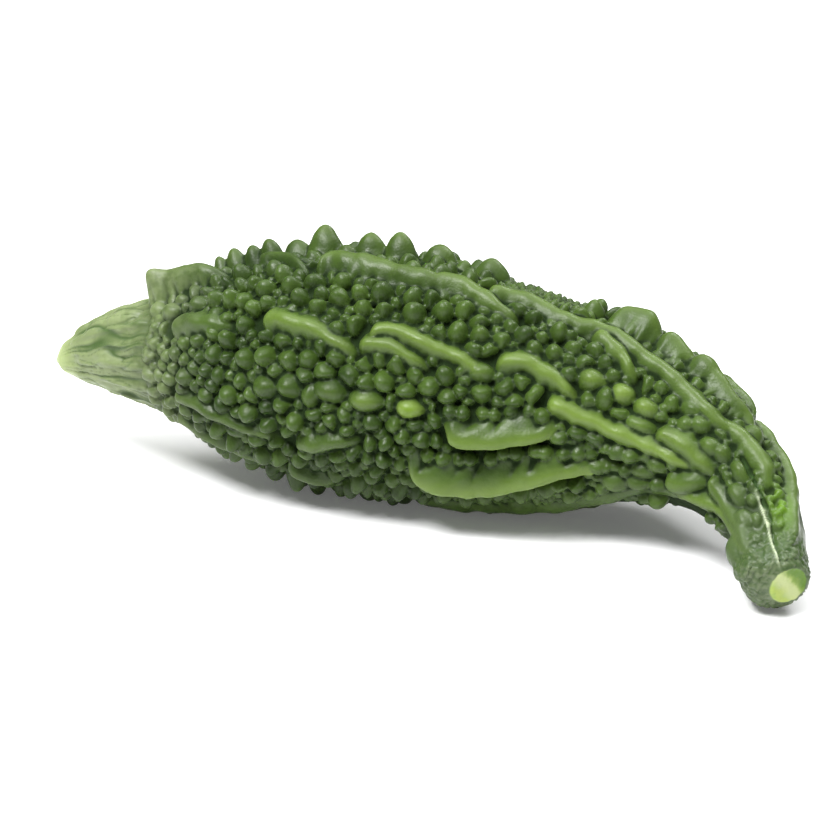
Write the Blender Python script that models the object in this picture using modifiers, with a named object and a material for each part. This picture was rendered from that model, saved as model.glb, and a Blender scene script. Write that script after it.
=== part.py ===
# Bitter gourd: one whole fruit that lies on its belly, with its hooked neck turned to the front.
# The body is a round tube of changing girth along a curved middle line. Ridges, knobs and beads
# are rooted well inside it and fused with it into one closed skin.
#
# Sizes below are in millimetres, and MM turns them into Blender's metres.
# A place on the body is (t, angle). t is the per cent of the way along the middle line, from the
# blossom end at 0 to the stem end at 100. angle goes round it in degrees: 0 front, 90 top,
# 180 back, 270 underneath.
import math
import random
from collections import namedtuple

import bmesh
import bpy
import numpy as np

MM = 0.001
NAME = "bitter_gourd"
SEED = 11

# Driving dimensions of the smooth body: its middle line, the middle of the fruit's box seen from
# above, and its radius along the line.
MIDDLE_LINE = [(-100.3, -16, 26.6), (-80, -11, 31), (-45, -5, 33.4), (0, 2, 33.2), (38, 9, 30.6),
               (62, 11, 28.6), (84.5, 7, 26), (105.2, -4.2, 17.8), (120, -28.4, 8.1)]
BOX_MIDDLE = (13.02, 3.23)
GIRTH = [(0, 0), (1, 4.0), (2.5, 6.5), (5, 9.3), (10, 12.8), (15.5, 16.6), (20, 20.8), (25, 25.0),
         (33, 29.4), (42, 30.4), (50, 29.6), (58, 27.2), (65, 24.2), (72, 20.0), (78, 15.8),
         (83, 12.8), (87, 11.1), (91, 10.0), (95, 9.4), (98.5, 8.9), (99.6, 7.2), (100, 4.8)]

# Ridges are swept tubes: how far their roots go below the skin, how pointed their crest is, how
# long their tail tapers at most, and the spacing and number of points of their rings.
RIDGE_ROOT = 1.6
CREST_POWER = 1.2
TAIL_LENGTH = 9.0
RING_SPACING = 1.4
RING_SIDES = 12

# Each ridge is a list of (t, angle, height, half width), from its blunt head to its tapering tail.
FRONT_RIDGES = [
    [(12.6, 85, 9.2, 3.0), (14.6, 85, 9.8, 3.6), (17.2, 85, 8.2, 3.6), (20, 85, 7.0, 3.4), (23, 84, 4.0, 2.8)],
    [(17.8, 39, 3.2, 3.0), (20.4, 42, 4.4, 3.6), (23, 41, 4.2, 3.4), (26, 38, 2.6, 2.6)],
    [(25.6, 92, 4.4, 2.6), (27.8, 90, 4.8, 2.8), (30.4, 84, 4.2, 2.8), (33, 73, 2.8, 2.4)],
    [(29.6, 41, 4.0, 3.2), (31.5, 42.5, 5.0, 3.6), (34, 40.5, 5.0, 3.5), (37, 37, 4.4, 3.2), (41, 29, 2.6, 2.4)],
    [(41.4, 40, 3.6, 2.6), (43.6, 43, 4.2, 2.8), (46.5, 40, 4.2, 2.8), (49.5, 37, 3.6, 2.6),
     (51.8, 35, 3.6, 2.6), (54.6, 30, 3.4, 2.8)],
    [(40.6, 34, 3.4, 2.4), (42.6, 36.5, 3.8, 2.6), (45, 34.5, 3.6, 2.5), (48.2, 28, 2.4, 2.0)],
    [(33.3, 76, 4.6, 3.6), (35.2, 82, 6.2, 4.4), (38.6, 79, 6.0, 4.6), (42, 77, 5.6, 4.2), (46, 75.5, 5.2, 3.8),
     (49, 75, 4.4, 3.4)],
    [(45.4, 75, 4.4, 3.2), (47.8, 77, 5.2, 3.8), (50.6, 74, 4.8, 3.8), (53.4, 68, 3.8, 3.0), (56.6, 63, 2.4, 2.2)],
    [(51.4, 79, 3.2, 2.6), (54, 82, 3.6, 3.0), (58, 80, 3.4, 3.0), (62, 76, 3.4, 2.8), (65.4, 79, 4.2, 2.8),
     (68, 76.5, 4.0, 2.8), (71.6, 74, 4.0, 2.7), (76.2, 70, 3.8, 2.7), (79.5, 70, 3.4, 2.6), (82.5, 76, 2.6, 2.4)],
    [(79.8, 72, 3.2, 2.8), (82, 80, 3.8, 3.2), (84.6, 86, 3.8, 3.3), (87.2, 89.5, 3.4, 3.0), (90, 91, 2.4, 2.4)],
    [(63.8, 73, 3.0, 2.4), (65.4, 74, 3.8, 2.7), (67.4, 68, 3.8, 2.7), (69.6, 62, 3.2, 2.4), (71.6, 55, 2.2, 2.0)],
    [(54.8, 37, 3.6, 2.8), (57.2, 41, 4.8, 3.4), (60, 39, 4.6, 3.2), (63, 34, 3.6, 2.8), (66.2, 28, 2.2, 2.0)],
    [(61.4, 22, 3.6, 2.7), (63.6, 22, 4.4, 3.0), (67, 20, 4.6, 3.0), (72, 17.5, 4.4, 2.8), (77, 16, 3.8, 2.6),
     (82.4, 22, 2.2, 2.0)],
    [(76, 29, 3.2, 2.6), (78.4, 32, 4.0, 3.2), (81, 32, 3.8, 3.2), (85, 33, 2.4, 2.4)],
    [(72.2, 26, 2.8, 2.2), (73.8, 28.5, 3.2, 2.6), (76.6, 25, 2.4, 2.0)],
    [(46, 297, 3.4, 3.8), (52, 298, 4.2, 4.4), (58, 298, 4.2, 4.4), (64, 304, 3.4, 4.0), (70, 318, 2.6, 3.4),
     (77, 336, 2.0, 2.8), (83, 348, 1.6, 2.2)],
    [(78.8, 353, 3.2, 2.8), (80.8, 359, 4.0, 3.5), (82.6, 366, 3.8, 3.4), (84.8, 377, 2.6, 2.6)],
    [(80.6, 345, 2.6, 2.4), (82.4, 350, 2.8, 2.6), (86, 366, 2.6, 2.4), (90.4, 380, 2.2, 2.2), (95, 396, 1.4, 1.8)],
    [(84, 388, 2.6, 2.3), (86.6, 386, 3.0, 2.6), (91.4, 392, 2.8, 2.5), (96, 403, 2.2, 2.2), (99, 412, 1.2, 1.6)],
    [(79.8, 124, 2.2, 2.0), (81.4, 126, 3.0, 2.6), (83.8, 126, 3.0, 2.6), (87, 122, 2.8, 2.4), (90.2, 121, 2.6, 2.3),
     (93.4, 117, 2.2, 2.1), (97.4, 114, 1.6, 1.8)],
]
# Ridges whose crest leans down like the edge of a leaf, with the lean in degrees.
LEANING_RIDGES = [
    (-56, [(50.2, 10, 7.0, 2.2), (52.5, 10, 9.0, 2.5), (56, 11.5, 9.0, 2.4), (60, 14.5, 7.6, 2.3),
           (63, 15.5, 5.0, 2.1), (65, 15, 2.6, 1.8)]),
    (-56, [(46.5, 345, 8.0, 2.4), (50, 344, 10.2, 2.6), (54, 345, 10.4, 2.6), (58, 349, 10.0, 2.6),
           (63, 355, 8.0, 2.4), (68, 357, 5.4, 2.2), (72, 357, 2.8, 1.8)]),
]
# Knobs are (t, angle, height, half length, half width).
FRONT_KNOBS = [
    (31.1, 8, 4.2, 5.0, 4.4), (34.1, 11, 4.2, 4.8, 4.4), (36.2, 10, 3.8, 3.2, 4.2), (38.9, 11, 4.4, 5.2, 4.4),
    (42.3, 11, 4.6, 5.0, 4.2), (46.8, 10, 4.2, 4.2, 3.2), (53.6, 31, 4.0, 4.2, 3.2), (50.2, 49, 4.4, 2.9, 3.8),
    (52.6, 50, 4.2, 3.0, 2.9), (58.8, 50, 3.8, 2.8, 2.8), (61.0, 51, 4.2, 2.8, 3.0), (66.4, 42, 4.2, 4.1, 3.3),
    (68.6, 51, 3.8, 2.6, 2.5), (70.8, 41, 4.0, 3.3, 3.4), (73.6, 40, 3.8, 3.5, 3.3), (66.8, 30, 3.6, 2.7, 2.7),
    (78.2, 48, 3.2, 2.8, 2.8), (79.2, 56, 3.4, 3.6, 2.8), (77.8, 62, 3.0, 4.2, 2.4), (72.0, 338, 3.4, 4.4, 3.6),
    (75.2, 341, 3.2, 3.4, 3.0), (75.8, 352, 3.2, 4.2, 2.6), (78.2, 342, 3.0, 3.0, 2.8), (77.6, 2, 3.0, 3.6, 2.4),
    (15.0, 64, 2.6, 3.0, 2.6), (17.0, 58, 3.0, 3.6, 2.8), (18.0, 68, 2.8, 2.6, 2.4), (20.6, 58, 3.4, 3.4, 3.0),
    (10.0, 72, 1.6, 6.5, 4.5), (6.8, 66, 1.2, 5.0, 4.0), (24.6, 80, 4.6, 2.9, 3.4), (82.2, 51, 3.6, 4.4, 3.5),
    (86.4, 61, 3.0, 3.5, 2.6), (89.2, 49, 2.8, 3.6, 2.8), (92.4, 49, 2.4, 3.4, 2.7), (95.2, 50, 1.8, 2.6, 2.4),
    (90.6, 69, 2.2, 2.4, 1.9), (93.0, 70, 2.1, 2.6, 1.9), (95.4, 70, 1.9, 2.4, 2.0), (95.6, 17, 3.2, 5.6, 3.6),
    (98.0, 20, 1.4, 4.0, 4.0), (97.2, 300, 1.6, 3.2, 3.0), (96.8, 250, 1.4, 3.2, 3.0),
]
# The row of round teats along the top of the back, then the fins that go on from it.
BACK_TEATS = [
    (22.7, 104, 7.4, 4.0, 3.6), (24.6, 104, 7.0, 3.8, 3.6), (26.5, 104, 7.6, 4.2, 3.8), (29.5, 104, 6.2, 5.0, 4.0),
    (32.5, 104, 9.6, 5.8, 4.8), (35.1, 101, 4.4, 3.8, 3.6), (37.6, 104, 7.9, 5.4, 4.4), (40.9, 104, 8.7, 5.3, 4.4),
    (45.2, 104, 7.0, 6.0, 4.6), (50.9, 104, 6.2, 5.8, 4.4), (62.6, 100, 4.6, 3.4, 3.2),
]
BACK_FINS = [
    [(64.9, 100, 4.6, 3.0), (66.7, 100, 7.6, 4.0), (68.4, 100, 8.0, 4.0), (69.8, 99, 5.4, 3.0)],
    [(69.9, 100, 5.6, 3.0), (71.2, 100, 6.4, 3.6), (73.0, 100, 3.6, 2.8)],
    [(73.6, 100, 5.0, 3.2), (75, 100, 6.4, 3.8), (77, 101, 5.8, 3.6), (80, 104, 4.2, 3.0), (83, 108, 2.4, 2.4)],
]
# Ridge lines on the sides that lie away from the front, as (angle, first t, last t). Their broken
# ridges have heads, crests and tails of the FAR_SHAPE rows: (share of the way, share of the swing
# aside, height, half width), times FAR_RIDGE_SIZE at that place.
FAR_LINES = [(142, 17, 90), (177, 16, 88), (212, 17, 91), (247, 17, 89), (283, 18, 70), (316, 17, 44),
             (344, 18, 42)]
FAR_SHAPE = [(0.0, 1.0, 3.6, 2.7), (0.35, 0.3, 5.0, 3.2), (0.7, -0.6, 4.4, 2.9), (1.0, -1.0, 2.4, 2.0)]
FAR_RIDGE_SIZE = [(15, 0.75), (30, 1.0), (60, 1.0), (75, 0.8), (90, 0.5)]
LONG_PIECE = (5, 15)
SHORT_PIECE = (5, 9)
SHORT_FROM = 70
# The fruit's weight has pressed the ridges under it lower.
BELLY_LINES = (247, 283)
BELLY_SHARE = [(15, 0.65), (62, 0.65), (70, 0.4), (90, 0.4)]
TIP_WRINKLES = 15

# Knobs sink into the skin by this share of their height, and eggs narrow lengthwise by EGG_TAPER.
KNOB_SINK = 0.12
EGG_TAPER = 0.14

# Beads: where they stand, their radius along the fruit, and the share of it and the tries of each
# round. They stay clear of ridges and each other by these shares of their radius.
BEADS_FROM, BEADS_TO = 16, 90
BEAD_RADIUS = [(16, 1.8), (22, 2.3), (32, 2.6), (55, 2.6), (70, 2.2), (80, 1.7), (86, 1.2), (92, 0.9)]
BEAD_ROUNDS = [(1.08, 6000), (0.88, 24000)]
BEAD_LIFT = 0.3
BEAD_STRETCH = 1.2
BEAD_SPACING = 0.9
BEAD_GROWTH = 1.15
RIDGE_CLEARANCE = 0.6
LOOK_ALONG = 5

# The fused skin: its cell, the share of its facets that is kept, and the block that cuts it flat at
# the table's plane.
SKIN_CELL = 0.95
SKIN_SHARE = 0.07
CUTTER_SIZE = (400, 300, 40)

Knob = namedtuple("Knob", "t angle height length width")


def spline(points, per_span):
    """Rows of a smooth curve through the points, per_span rows between each two."""
    points = np.array(points, float)
    padded = np.vstack([2 * points[0] - points[1], points, 2 * points[-1] - points[-2]])
    steps = np.linspace(0, len(points) - 1, per_span * (len(points) - 1) + 1)
    span = np.minimum(steps.astype(int), len(points) - 2)
    u = (steps - span)[:, None]
    a, b, c, d = (padded[span + k] for k in range(4))
    bend = 2 * a - 5 * b + 4 * c - d
    twist = 3 * b - a - 3 * c + d
    return 0.5 * (2 * b + (c - a) * u + bend * u**2 + twist * u**3)


def evenly(rows, places, spacing):
    """The rows read again at equal steps along the curve of places, and each step's length so far."""
    steps = np.linalg.norm(np.diff(places, axis=0), axis=1)
    reach = np.concatenate([[0.0], np.cumsum(steps)])
    even = np.linspace(0, reach[-1], max(int(reach[-1] / spacing), 6))
    return np.column_stack([np.interp(even, reach, column) for column in rows.T]), even


def unit(vectors):
    return vectors / np.linalg.norm(vectors, axis=-1, keepdims=True)


def eased(x, knots):
    """A smooth curve through (x, y) knots that never swings past them."""
    xs, ys = np.array(knots, float).T
    step = np.diff(xs)
    slope = np.diff(ys) / step
    inner = np.where(slope[1:] * slope[:-1] > 0,
                     2 * slope[1:] * slope[:-1] / (slope[1:] + slope[:-1] + 1e-12), 0)
    tangent = np.concatenate([[slope[0]], inner, [slope[-1]]])
    span = np.clip(np.searchsorted(xs, x) - 1, 0, len(step) - 1)
    u = (x - xs[span]) / step[span]
    rise = (2 * u**3 - 3 * u**2 + 1) * ys[span] + (3 * u**2 - 2 * u**3) * ys[span + 1]
    lead = (u**3 - 2 * u**2 + u) * tangent[span] + (u**3 - u**2) * tangent[span + 1]
    return rise + lead * step[span]


def at(t, knots):
    """The value at t on the straight lines between (t, value) knots."""
    return float(np.interp(t, *zip(*knots)))


class Body:
    """The smooth body under the warts, and the directions at any place on it."""

    def __init__(self):
        line = spline(MIDDLE_LINE, 60)
        self.line, reach = evenly(line, line, 0.5)
        self.line[:, :2] -= BOX_MIDDLE
        self.length = reach[-1]
        self.t = 100 * reach / self.length
        self.along = unit(np.gradient(self.line, axis=0))
        self.front = unit(np.cross(self.along, [0.0, 0.0, 1.0]))
        self.up = np.cross(self.front, self.along)
        self.girth = eased(self.t, GIRTH)
        self.flare = np.clip(np.gradient(self.girth, reach), -1.5, 1.5)

    def read(self, values, t):
        if values.ndim == 1:
            return np.interp(t, self.t, values)
        return np.stack([np.interp(t, self.t, column) for column in values.T], axis=-1)

    def radius(self, t):
        return self.read(self.girth, t)

    def place(self, t, angle):
        """Points on the skin, with their outward, lengthwise and sideways directions."""
        t, angle = np.broadcast_arrays(np.asarray(t, float), np.radians(angle))
        along, front, up = (unit(self.read(v, t)) for v in (self.along, self.front, self.up))
        cos, sin = np.cos(angle)[..., None], np.sin(angle)[..., None]
        radial = front * cos + up * sin
        around = up * cos - front * sin
        flare = self.read(self.flare, t)[..., None]
        points = self.read(self.line, t) + radial * self.radius(t)[..., None]
        return points, unit(radial - along * flare), unit(along + radial * flare), around


class Shapes:
    """Closed shapes gathered as plain points and faces."""

    def __init__(self):
        self.points = []
        self.faces = []
        self.count = 0
        ball = bmesh.new()
        bmesh.ops.create_icosphere(ball, subdivisions=2, radius=1.0)
        self.ball_points = np.array([v.co for v in ball.verts])
        self.ball_faces = np.array([[v.index for v in f.verts] for f in ball.faces])
        ball.free()

    def add(self, points, faces):
        self.points.append(points)
        self.faces.extend((np.asarray(face) + self.count).tolist() for face in faces)
        self.count += len(points)

    def add_rings(self, rings, first, last):
        """A tube of rings, all with the same number of points, closed by a point at each end."""
        rows, sides = rings.shape[:2]
        index = np.arange(rows * sides).reshape(rows, sides)
        after = np.roll(index, -1, axis=1)
        quads = np.stack([index[:-1], after[:-1], after[1:], index[1:]], axis=-1).reshape(-1, 4)
        start, end = rows * sides, rows * sides + 1
        caps = [(start, b, a) for a, b in zip(index[0], after[0])]
        caps += [(end, a, b) for a, b in zip(index[-1], after[-1])]
        self.add(np.vstack([rings.reshape(-1, 3), first, last]), list(quads) + caps)

    def add_egg(self, centre, axes, half):
        """An egg on three axes, lengthwise, sideways and out, with its blunt end toward the blossom end.
        half is its half sizes along them."""
        egg = self.ball_points * half
        egg[:, 1:] *= 1 - EGG_TAPER * self.ball_points[:, :1]
        self.add(centre + egg @ np.stack(axes), self.ball_faces)

    def mesh(self, name):
        mesh = bpy.data.meshes.new(name)
        mesh.from_pydata((np.vstack(self.points) * MM).tolist(), [], self.faces)
        mesh.update()
        return mesh


def add_body(shapes, body):
    """The smooth tube, with rings close enough together for its rounded ends."""
    t = np.concatenate([[0.15, 0.5], np.arange(1, 98.5, 1.0), [98.5, 99, 99.4, 99.7, 99.9, 100]])
    angle = np.arange(0, 360, 7.5)
    rings = body.place(t[:, None], angle[None, :])[0]
    shapes.add_rings(rings, body.line[0], body.line[-1] + 0.8 * body.along[-1])


def tapered(distance, reach):
    """0 at an end, rising as a quarter round to 1 at the distance reach."""
    u = np.clip(distance / reach, 0, 1)
    return np.sqrt(1 - (1 - u) ** 2)


def add_ridge(shapes, body, path, lean=0.0):
    """A ridge with a blunt head and a long tail, swept along its path on the body."""
    rows = spline(path, 12)
    places = body.place(rows[:, 0], rows[:, 1])[0]
    rows, reach = evenly(rows, places, RING_SPACING)
    t, angle, height, width = rows.T
    points, out, lengthwise, sideways = body.place(t, angle)
    tail = min(0.45 * reach[-1], TAIL_LENGTH)
    swell = np.maximum(tapered(reach, 1.1 * width[0]) * tapered(reach[-1] - reach, tail), 0.12)
    tilt = math.radians(lean)
    crest = out * math.cos(tilt) + sideways * math.sin(tilt)
    turn = np.linspace(0, 2 * np.pi, RING_SIDES, endpoint=False)
    across = np.sign(np.sin(turn)) * np.abs(np.sin(turn)) ** CREST_POWER
    upward = np.sign(np.cos(turn)) * np.abs(np.cos(turn)) ** CREST_POWER
    root = points - out * RIDGE_ROOT
    rings = (root[:, None] + sideways[:, None] * (across[None, :] * (width * swell)[:, None])[..., None]
             + crest[:, None] * (upward[None, :] * ((height + RIDGE_ROOT) * swell)[:, None])[..., None])
    shapes.add_rings(rings[:, ::-1], root[0] - 0.4 * lengthwise[0], root[-1] + 0.4 * lengthwise[-1])


def add_knob(shapes, body, knob):
    """A large egg whose middle is sunk below the skin."""
    point, out, lengthwise, sideways = body.place(knob.t, knob.angle)
    sink = KNOB_SINK * knob.height
    half = np.array([knob.length, knob.width, knob.height + sink])
    shapes.add_egg(point - out * sink, (lengthwise, sideways, out), half)


def far_ridges(rng):
    """Broken ridges along the lines that the front doesn't show, each a list as FRONT_RIDGES has."""
    ridges = []
    for angle, first, last in FAR_LINES:
        t = first + rng.uniform(0, 2)
        while t < last - 4:
            end = min(t + rng.uniform(*(LONG_PIECE if t < SHORT_FROM else SHORT_PIECE)), last)
            size = at(t, FAR_RIDGE_SIZE)
            if angle in BELLY_LINES:
                size *= at(t, BELLY_SHARE)
            swing = rng.uniform(-5, 5)
            ridges.append([(t + way * (end - t), angle + aside * swing, height * size, width * size)
                           for way, aside, height, width in FAR_SHAPE])
            t = end + rng.uniform(0.4, 1.6)
    return ridges


def tip_wrinkles(rng):
    """Low wrinkles that run from the smooth blossom end up to the first beads."""
    wrinkles = []
    for k in range(TIP_WRINKLES):
        angle = 360 * (k + rng.uniform(-0.2, 0.2)) / TIP_WRINKLES
        start = rng.uniform(3, 7)
        end = rng.uniform(14, 18)
        height = rng.uniform(0.8, 1.5)
        wrinkles.append([(start, angle, 0.4, 0.9), ((start + end) / 2, angle, height, 1.4),
                         (end, angle, 0.8 * height, 1.5)])
    return wrinkles


def feet(body, ridges, knobs):
    """Where ridges and knobs stand, as rows of (t, angle, half width), to keep beads off them."""
    rows = [spline(path, 10)[:, [0, 1, 3]] for path in ridges]
    for knob in knobs:
        step = 100 * max(knob.length - knob.width, 0) / body.length
        shift = np.array([-step, 0.0, step])
        rows.append(np.column_stack([knob.t + shift, np.full(3, knob.angle), np.full(3, knob.width)]))
    return np.vstack(rows)


def gap(body, places, t, angle):
    """The distance over the skin from each place to (t, angle), shortened lengthwise by a bead's stretch."""
    lengthwise = (places[:, 0] - t) * body.length / 100 / BEAD_STRETCH
    turn = (places[:, 1] - angle + 180) % 360 - 180
    sideways = np.radians(turn) * 0.5 * (body.radius(places[:, 0]) + body.radius(t))
    return np.hypot(lengthwise, sideways)


def scatter_beads(body, taken, rng):
    """Beads as rows of (t, angle, radius), large ones first and smaller ones where they still fit."""
    beads = np.empty((0, 3))
    widest = body.girth.max()
    for share, tries in BEAD_ROUNDS:
        for _ in range(tries):
            t, angle = rng.uniform(BEADS_FROM, BEADS_TO), rng.uniform(0, 360)
            if rng.random() * widest > body.radius(t):
                continue
            radius = share * at(t, BEAD_RADIUS) * rng.uniform(0.9, 1.1)
            near = taken[np.abs(taken[:, 0] - t) < LOOK_ALONG]
            if len(near) and (gap(body, near, t, angle) < near[:, 2] + RIDGE_CLEARANCE * radius).any():
                continue
            close = beads[np.abs(beads[:, 0] - t) < LOOK_ALONG]
            if len(close) and (gap(body, close, t, angle) < BEAD_SPACING * (close[:, 2] + radius)).any():
                continue
            beads = np.vstack([beads, [t, angle, radius]])
    return beads


def grow_beads(body, beads):
    """Each bead swells until it meets its nearest neighbour, within BEAD_GROWTH."""
    for k, (t, angle, radius) in enumerate(beads):
        room = gap(body, beads, t, angle) - BEAD_SPACING * beads[:, 2]
        room[k] = np.inf
        beads[k, 2] = np.clip(room.min(), radius, BEAD_GROWTH * radius)
    return beads


def add_beads(shapes, body, beads, rng):
    """Eggs of uneven height and slant, half sunk in the skin."""
    for t, angle, radius in beads:
        point, out, lengthwise, sideways = body.place(t, angle)
        slant = rng.gauss(0, 0.3)
        axis = lengthwise * math.cos(slant) + sideways * math.sin(slant)
        half = radius * np.array([rng.uniform(1.0, 1.4), rng.uniform(0.9, 1.02), rng.uniform(0.95, 1.12)])
        shapes.add_egg(point + out * BEAD_LIFT * radius, (axis, np.cross(out, axis), out), half)


def fruit_material():
    material = bpy.data.materials.new("green_skin")
    material.use_nodes = True
    shader = material.node_tree.nodes["Principled BSDF"]
    shader.inputs["Base Color"].default_value = (0.075, 0.14, 0.03, 1)
    shader.inputs["Roughness"].default_value = 0.42
    shader.inputs["Metallic"].default_value = 0.0
    return material


def new_collection(name):
    collection = bpy.data.collections.new(name)
    bpy.context.scene.collection.children.link(collection)
    return collection


def make_table_cutter(collection):
    """A block under the table's plane, which leaves small flat spots where the fruit rests."""
    length, width, depth = (size * MM for size in CUTTER_SIZE)
    bpy.ops.mesh.primitive_cube_add(size=1, location=(0, 0, -0.5 * depth))
    cutter = bpy.context.active_object
    cutter.name = "table_cutter"
    cutter.scale = (length, width, depth)
    cutter.hide_render = True
    cutter.display_type = "WIRE"
    for other in list(cutter.users_collection):
        other.objects.unlink(cutter)
    collection.objects.link(cutter)
    return cutter


def gather_shapes():
    """Every shape of the fruit: body, ridges, knobs, and beads in the room that they leave."""
    rng = random.Random(SEED)
    body = Body()
    shapes = Shapes()
    add_body(shapes, body)
    knobs = [Knob(*row) for row in FRONT_KNOBS + BACK_TEATS]
    upright = FRONT_RIDGES + BACK_FINS + far_ridges(rng) + tip_wrinkles(rng)
    for path in upright:
        add_ridge(shapes, body, path)
    for lean, path in LEANING_RIDGES:
        add_ridge(shapes, body, path, lean)
    for knob in knobs:
        add_knob(shapes, body, knob)
    taken = feet(body, upright + [path for _, path in LEANING_RIDGES], knobs)
    add_beads(shapes, body, grow_beads(body, scatter_beads(body, taken, rng)), rng)
    return shapes


def make_fruit(collection, cutter):
    """All shapes fused into one skin, thinned to its main facets and cut flat where it rests."""
    fruit = bpy.data.objects.new(NAME, gather_shapes().mesh(NAME))
    collection.objects.link(fruit)
    fruit.data.materials.append(fruit_material())
    skin = fruit.modifiers.new("skin", "REMESH")
    skin.mode = "VOXEL"
    skin.voxel_size = SKIN_CELL * MM
    thin = fruit.modifiers.new("thin", "DECIMATE")
    thin.ratio = SKIN_SHARE
    flat = fruit.modifiers.new("flat", "BOOLEAN")
    flat.operation = "DIFFERENCE"
    flat.object = cutter


def main():
    for thing in list(bpy.data.objects):
        bpy.data.objects.remove(thing, do_unlink=True)
    fruit_collection = new_collection("bitter_gourd")
    cutters = new_collection("cutters")
    make_fruit(fruit_collection, make_table_cutter(cutters))


main()
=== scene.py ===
# Bitter gourd: the looks of the whole fruit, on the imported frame.
# The skin is built like the solid, from a smooth body with ridges, flaps, knobs and beads, but with
# finer beads and wrinkles, and fused into one closed mesh.
#
# Shape sizes are in millimetres, and MM turns them into metres. A place on the body is (t, angle):
# t is the per cent of the way from the blossom end to the stem end, and angle goes round the body
# in degrees: 0 front, 90 top, 180 back, 270 underneath.
import math
import random
from collections import namedtuple

import bmesh
import bpy
import numpy as np
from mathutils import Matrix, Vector, kdtree, noise


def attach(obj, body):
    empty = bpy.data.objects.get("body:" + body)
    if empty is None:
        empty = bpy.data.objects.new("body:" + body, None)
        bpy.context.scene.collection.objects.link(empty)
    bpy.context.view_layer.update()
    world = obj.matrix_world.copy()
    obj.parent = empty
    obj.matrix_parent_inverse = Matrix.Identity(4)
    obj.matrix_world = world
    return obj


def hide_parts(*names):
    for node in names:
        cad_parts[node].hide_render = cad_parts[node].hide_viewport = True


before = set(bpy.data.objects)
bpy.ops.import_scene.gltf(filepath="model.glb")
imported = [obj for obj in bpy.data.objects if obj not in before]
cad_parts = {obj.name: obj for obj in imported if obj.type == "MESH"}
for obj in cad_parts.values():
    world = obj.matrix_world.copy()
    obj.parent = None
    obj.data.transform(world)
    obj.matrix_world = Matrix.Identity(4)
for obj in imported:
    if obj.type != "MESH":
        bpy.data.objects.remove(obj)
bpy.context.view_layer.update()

MM = 0.001
NODE = "bitter_gourd"
SEED = 11

# The smooth body: its middle line, the middle of the fruit's box on that line's plan, and the body's
# radius at each t.
MIDDLE_LINE = [(-100.3, -16, 26.6), (-80, -11, 31), (-45, -5, 33.4), (0, 2, 33.2), (38, 9, 30.6),
               (62, 11, 28.6), (84.5, 7, 26), (105.2, -4.2, 17.8), (120, -28.4, 8.1)]
BOX_MIDDLE = (13.02, 3.23)
GIRTH = [(0, 0), (1, 3.6), (2.5, 5.8), (5, 9), (10, 12.8), (15.5, 16.6), (20, 20.8), (25, 25),
         (33, 29.4), (42, 30.4), (50, 29.6), (58, 27.2), (65, 24.2), (72, 20), (78, 15.8),
         (83, 12.8), (87, 11), (91, 9.7), (95, 9), (98.5, 8.6), (99.6, 7), (100, 4.8)]

# Ridges are swept tubes: how deep they root, how pointed their crest is, how much their feet spread,
# how deep and long the flutes on their flanks are, and how long their tails are.
RIDGE_ROOT = 1.6
CREST_POWER = 0.95
FOOT_SPREAD = 0.65
FLUTES = 0.22
FLUTE_LENGTH = 4.4
TAIL_LENGTH = 6.5
# The most of a ridge that its tail takes, and how thin its ends get, as shares.
TAIL_SHARE = 0.45
END_SHARE = 0.12
# How far apart their rings are, and how many sides a ridge has.
RIDGE_STEP = 0.6
FLAP_STEP = 0.4
RIDGE_SIDES = 32
# How a ridge's height, width and course waver, and a flap's lobes and grooves: (amount, wave lengths).
HEIGHT_WAVE = (0.05, 7, 15)
WIDTH_WAVE = (0.07, 8, 15)
COURSE_WAVE = (0.35, 11, 19)
LOBE_WAVE = (0.22, 13, 21)
GROOVE_WAVE = (0.35, 9, 17)
# How far the tone of a ridge or a knob may be off the middle.
TONE_SPREAD = 0.3

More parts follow.
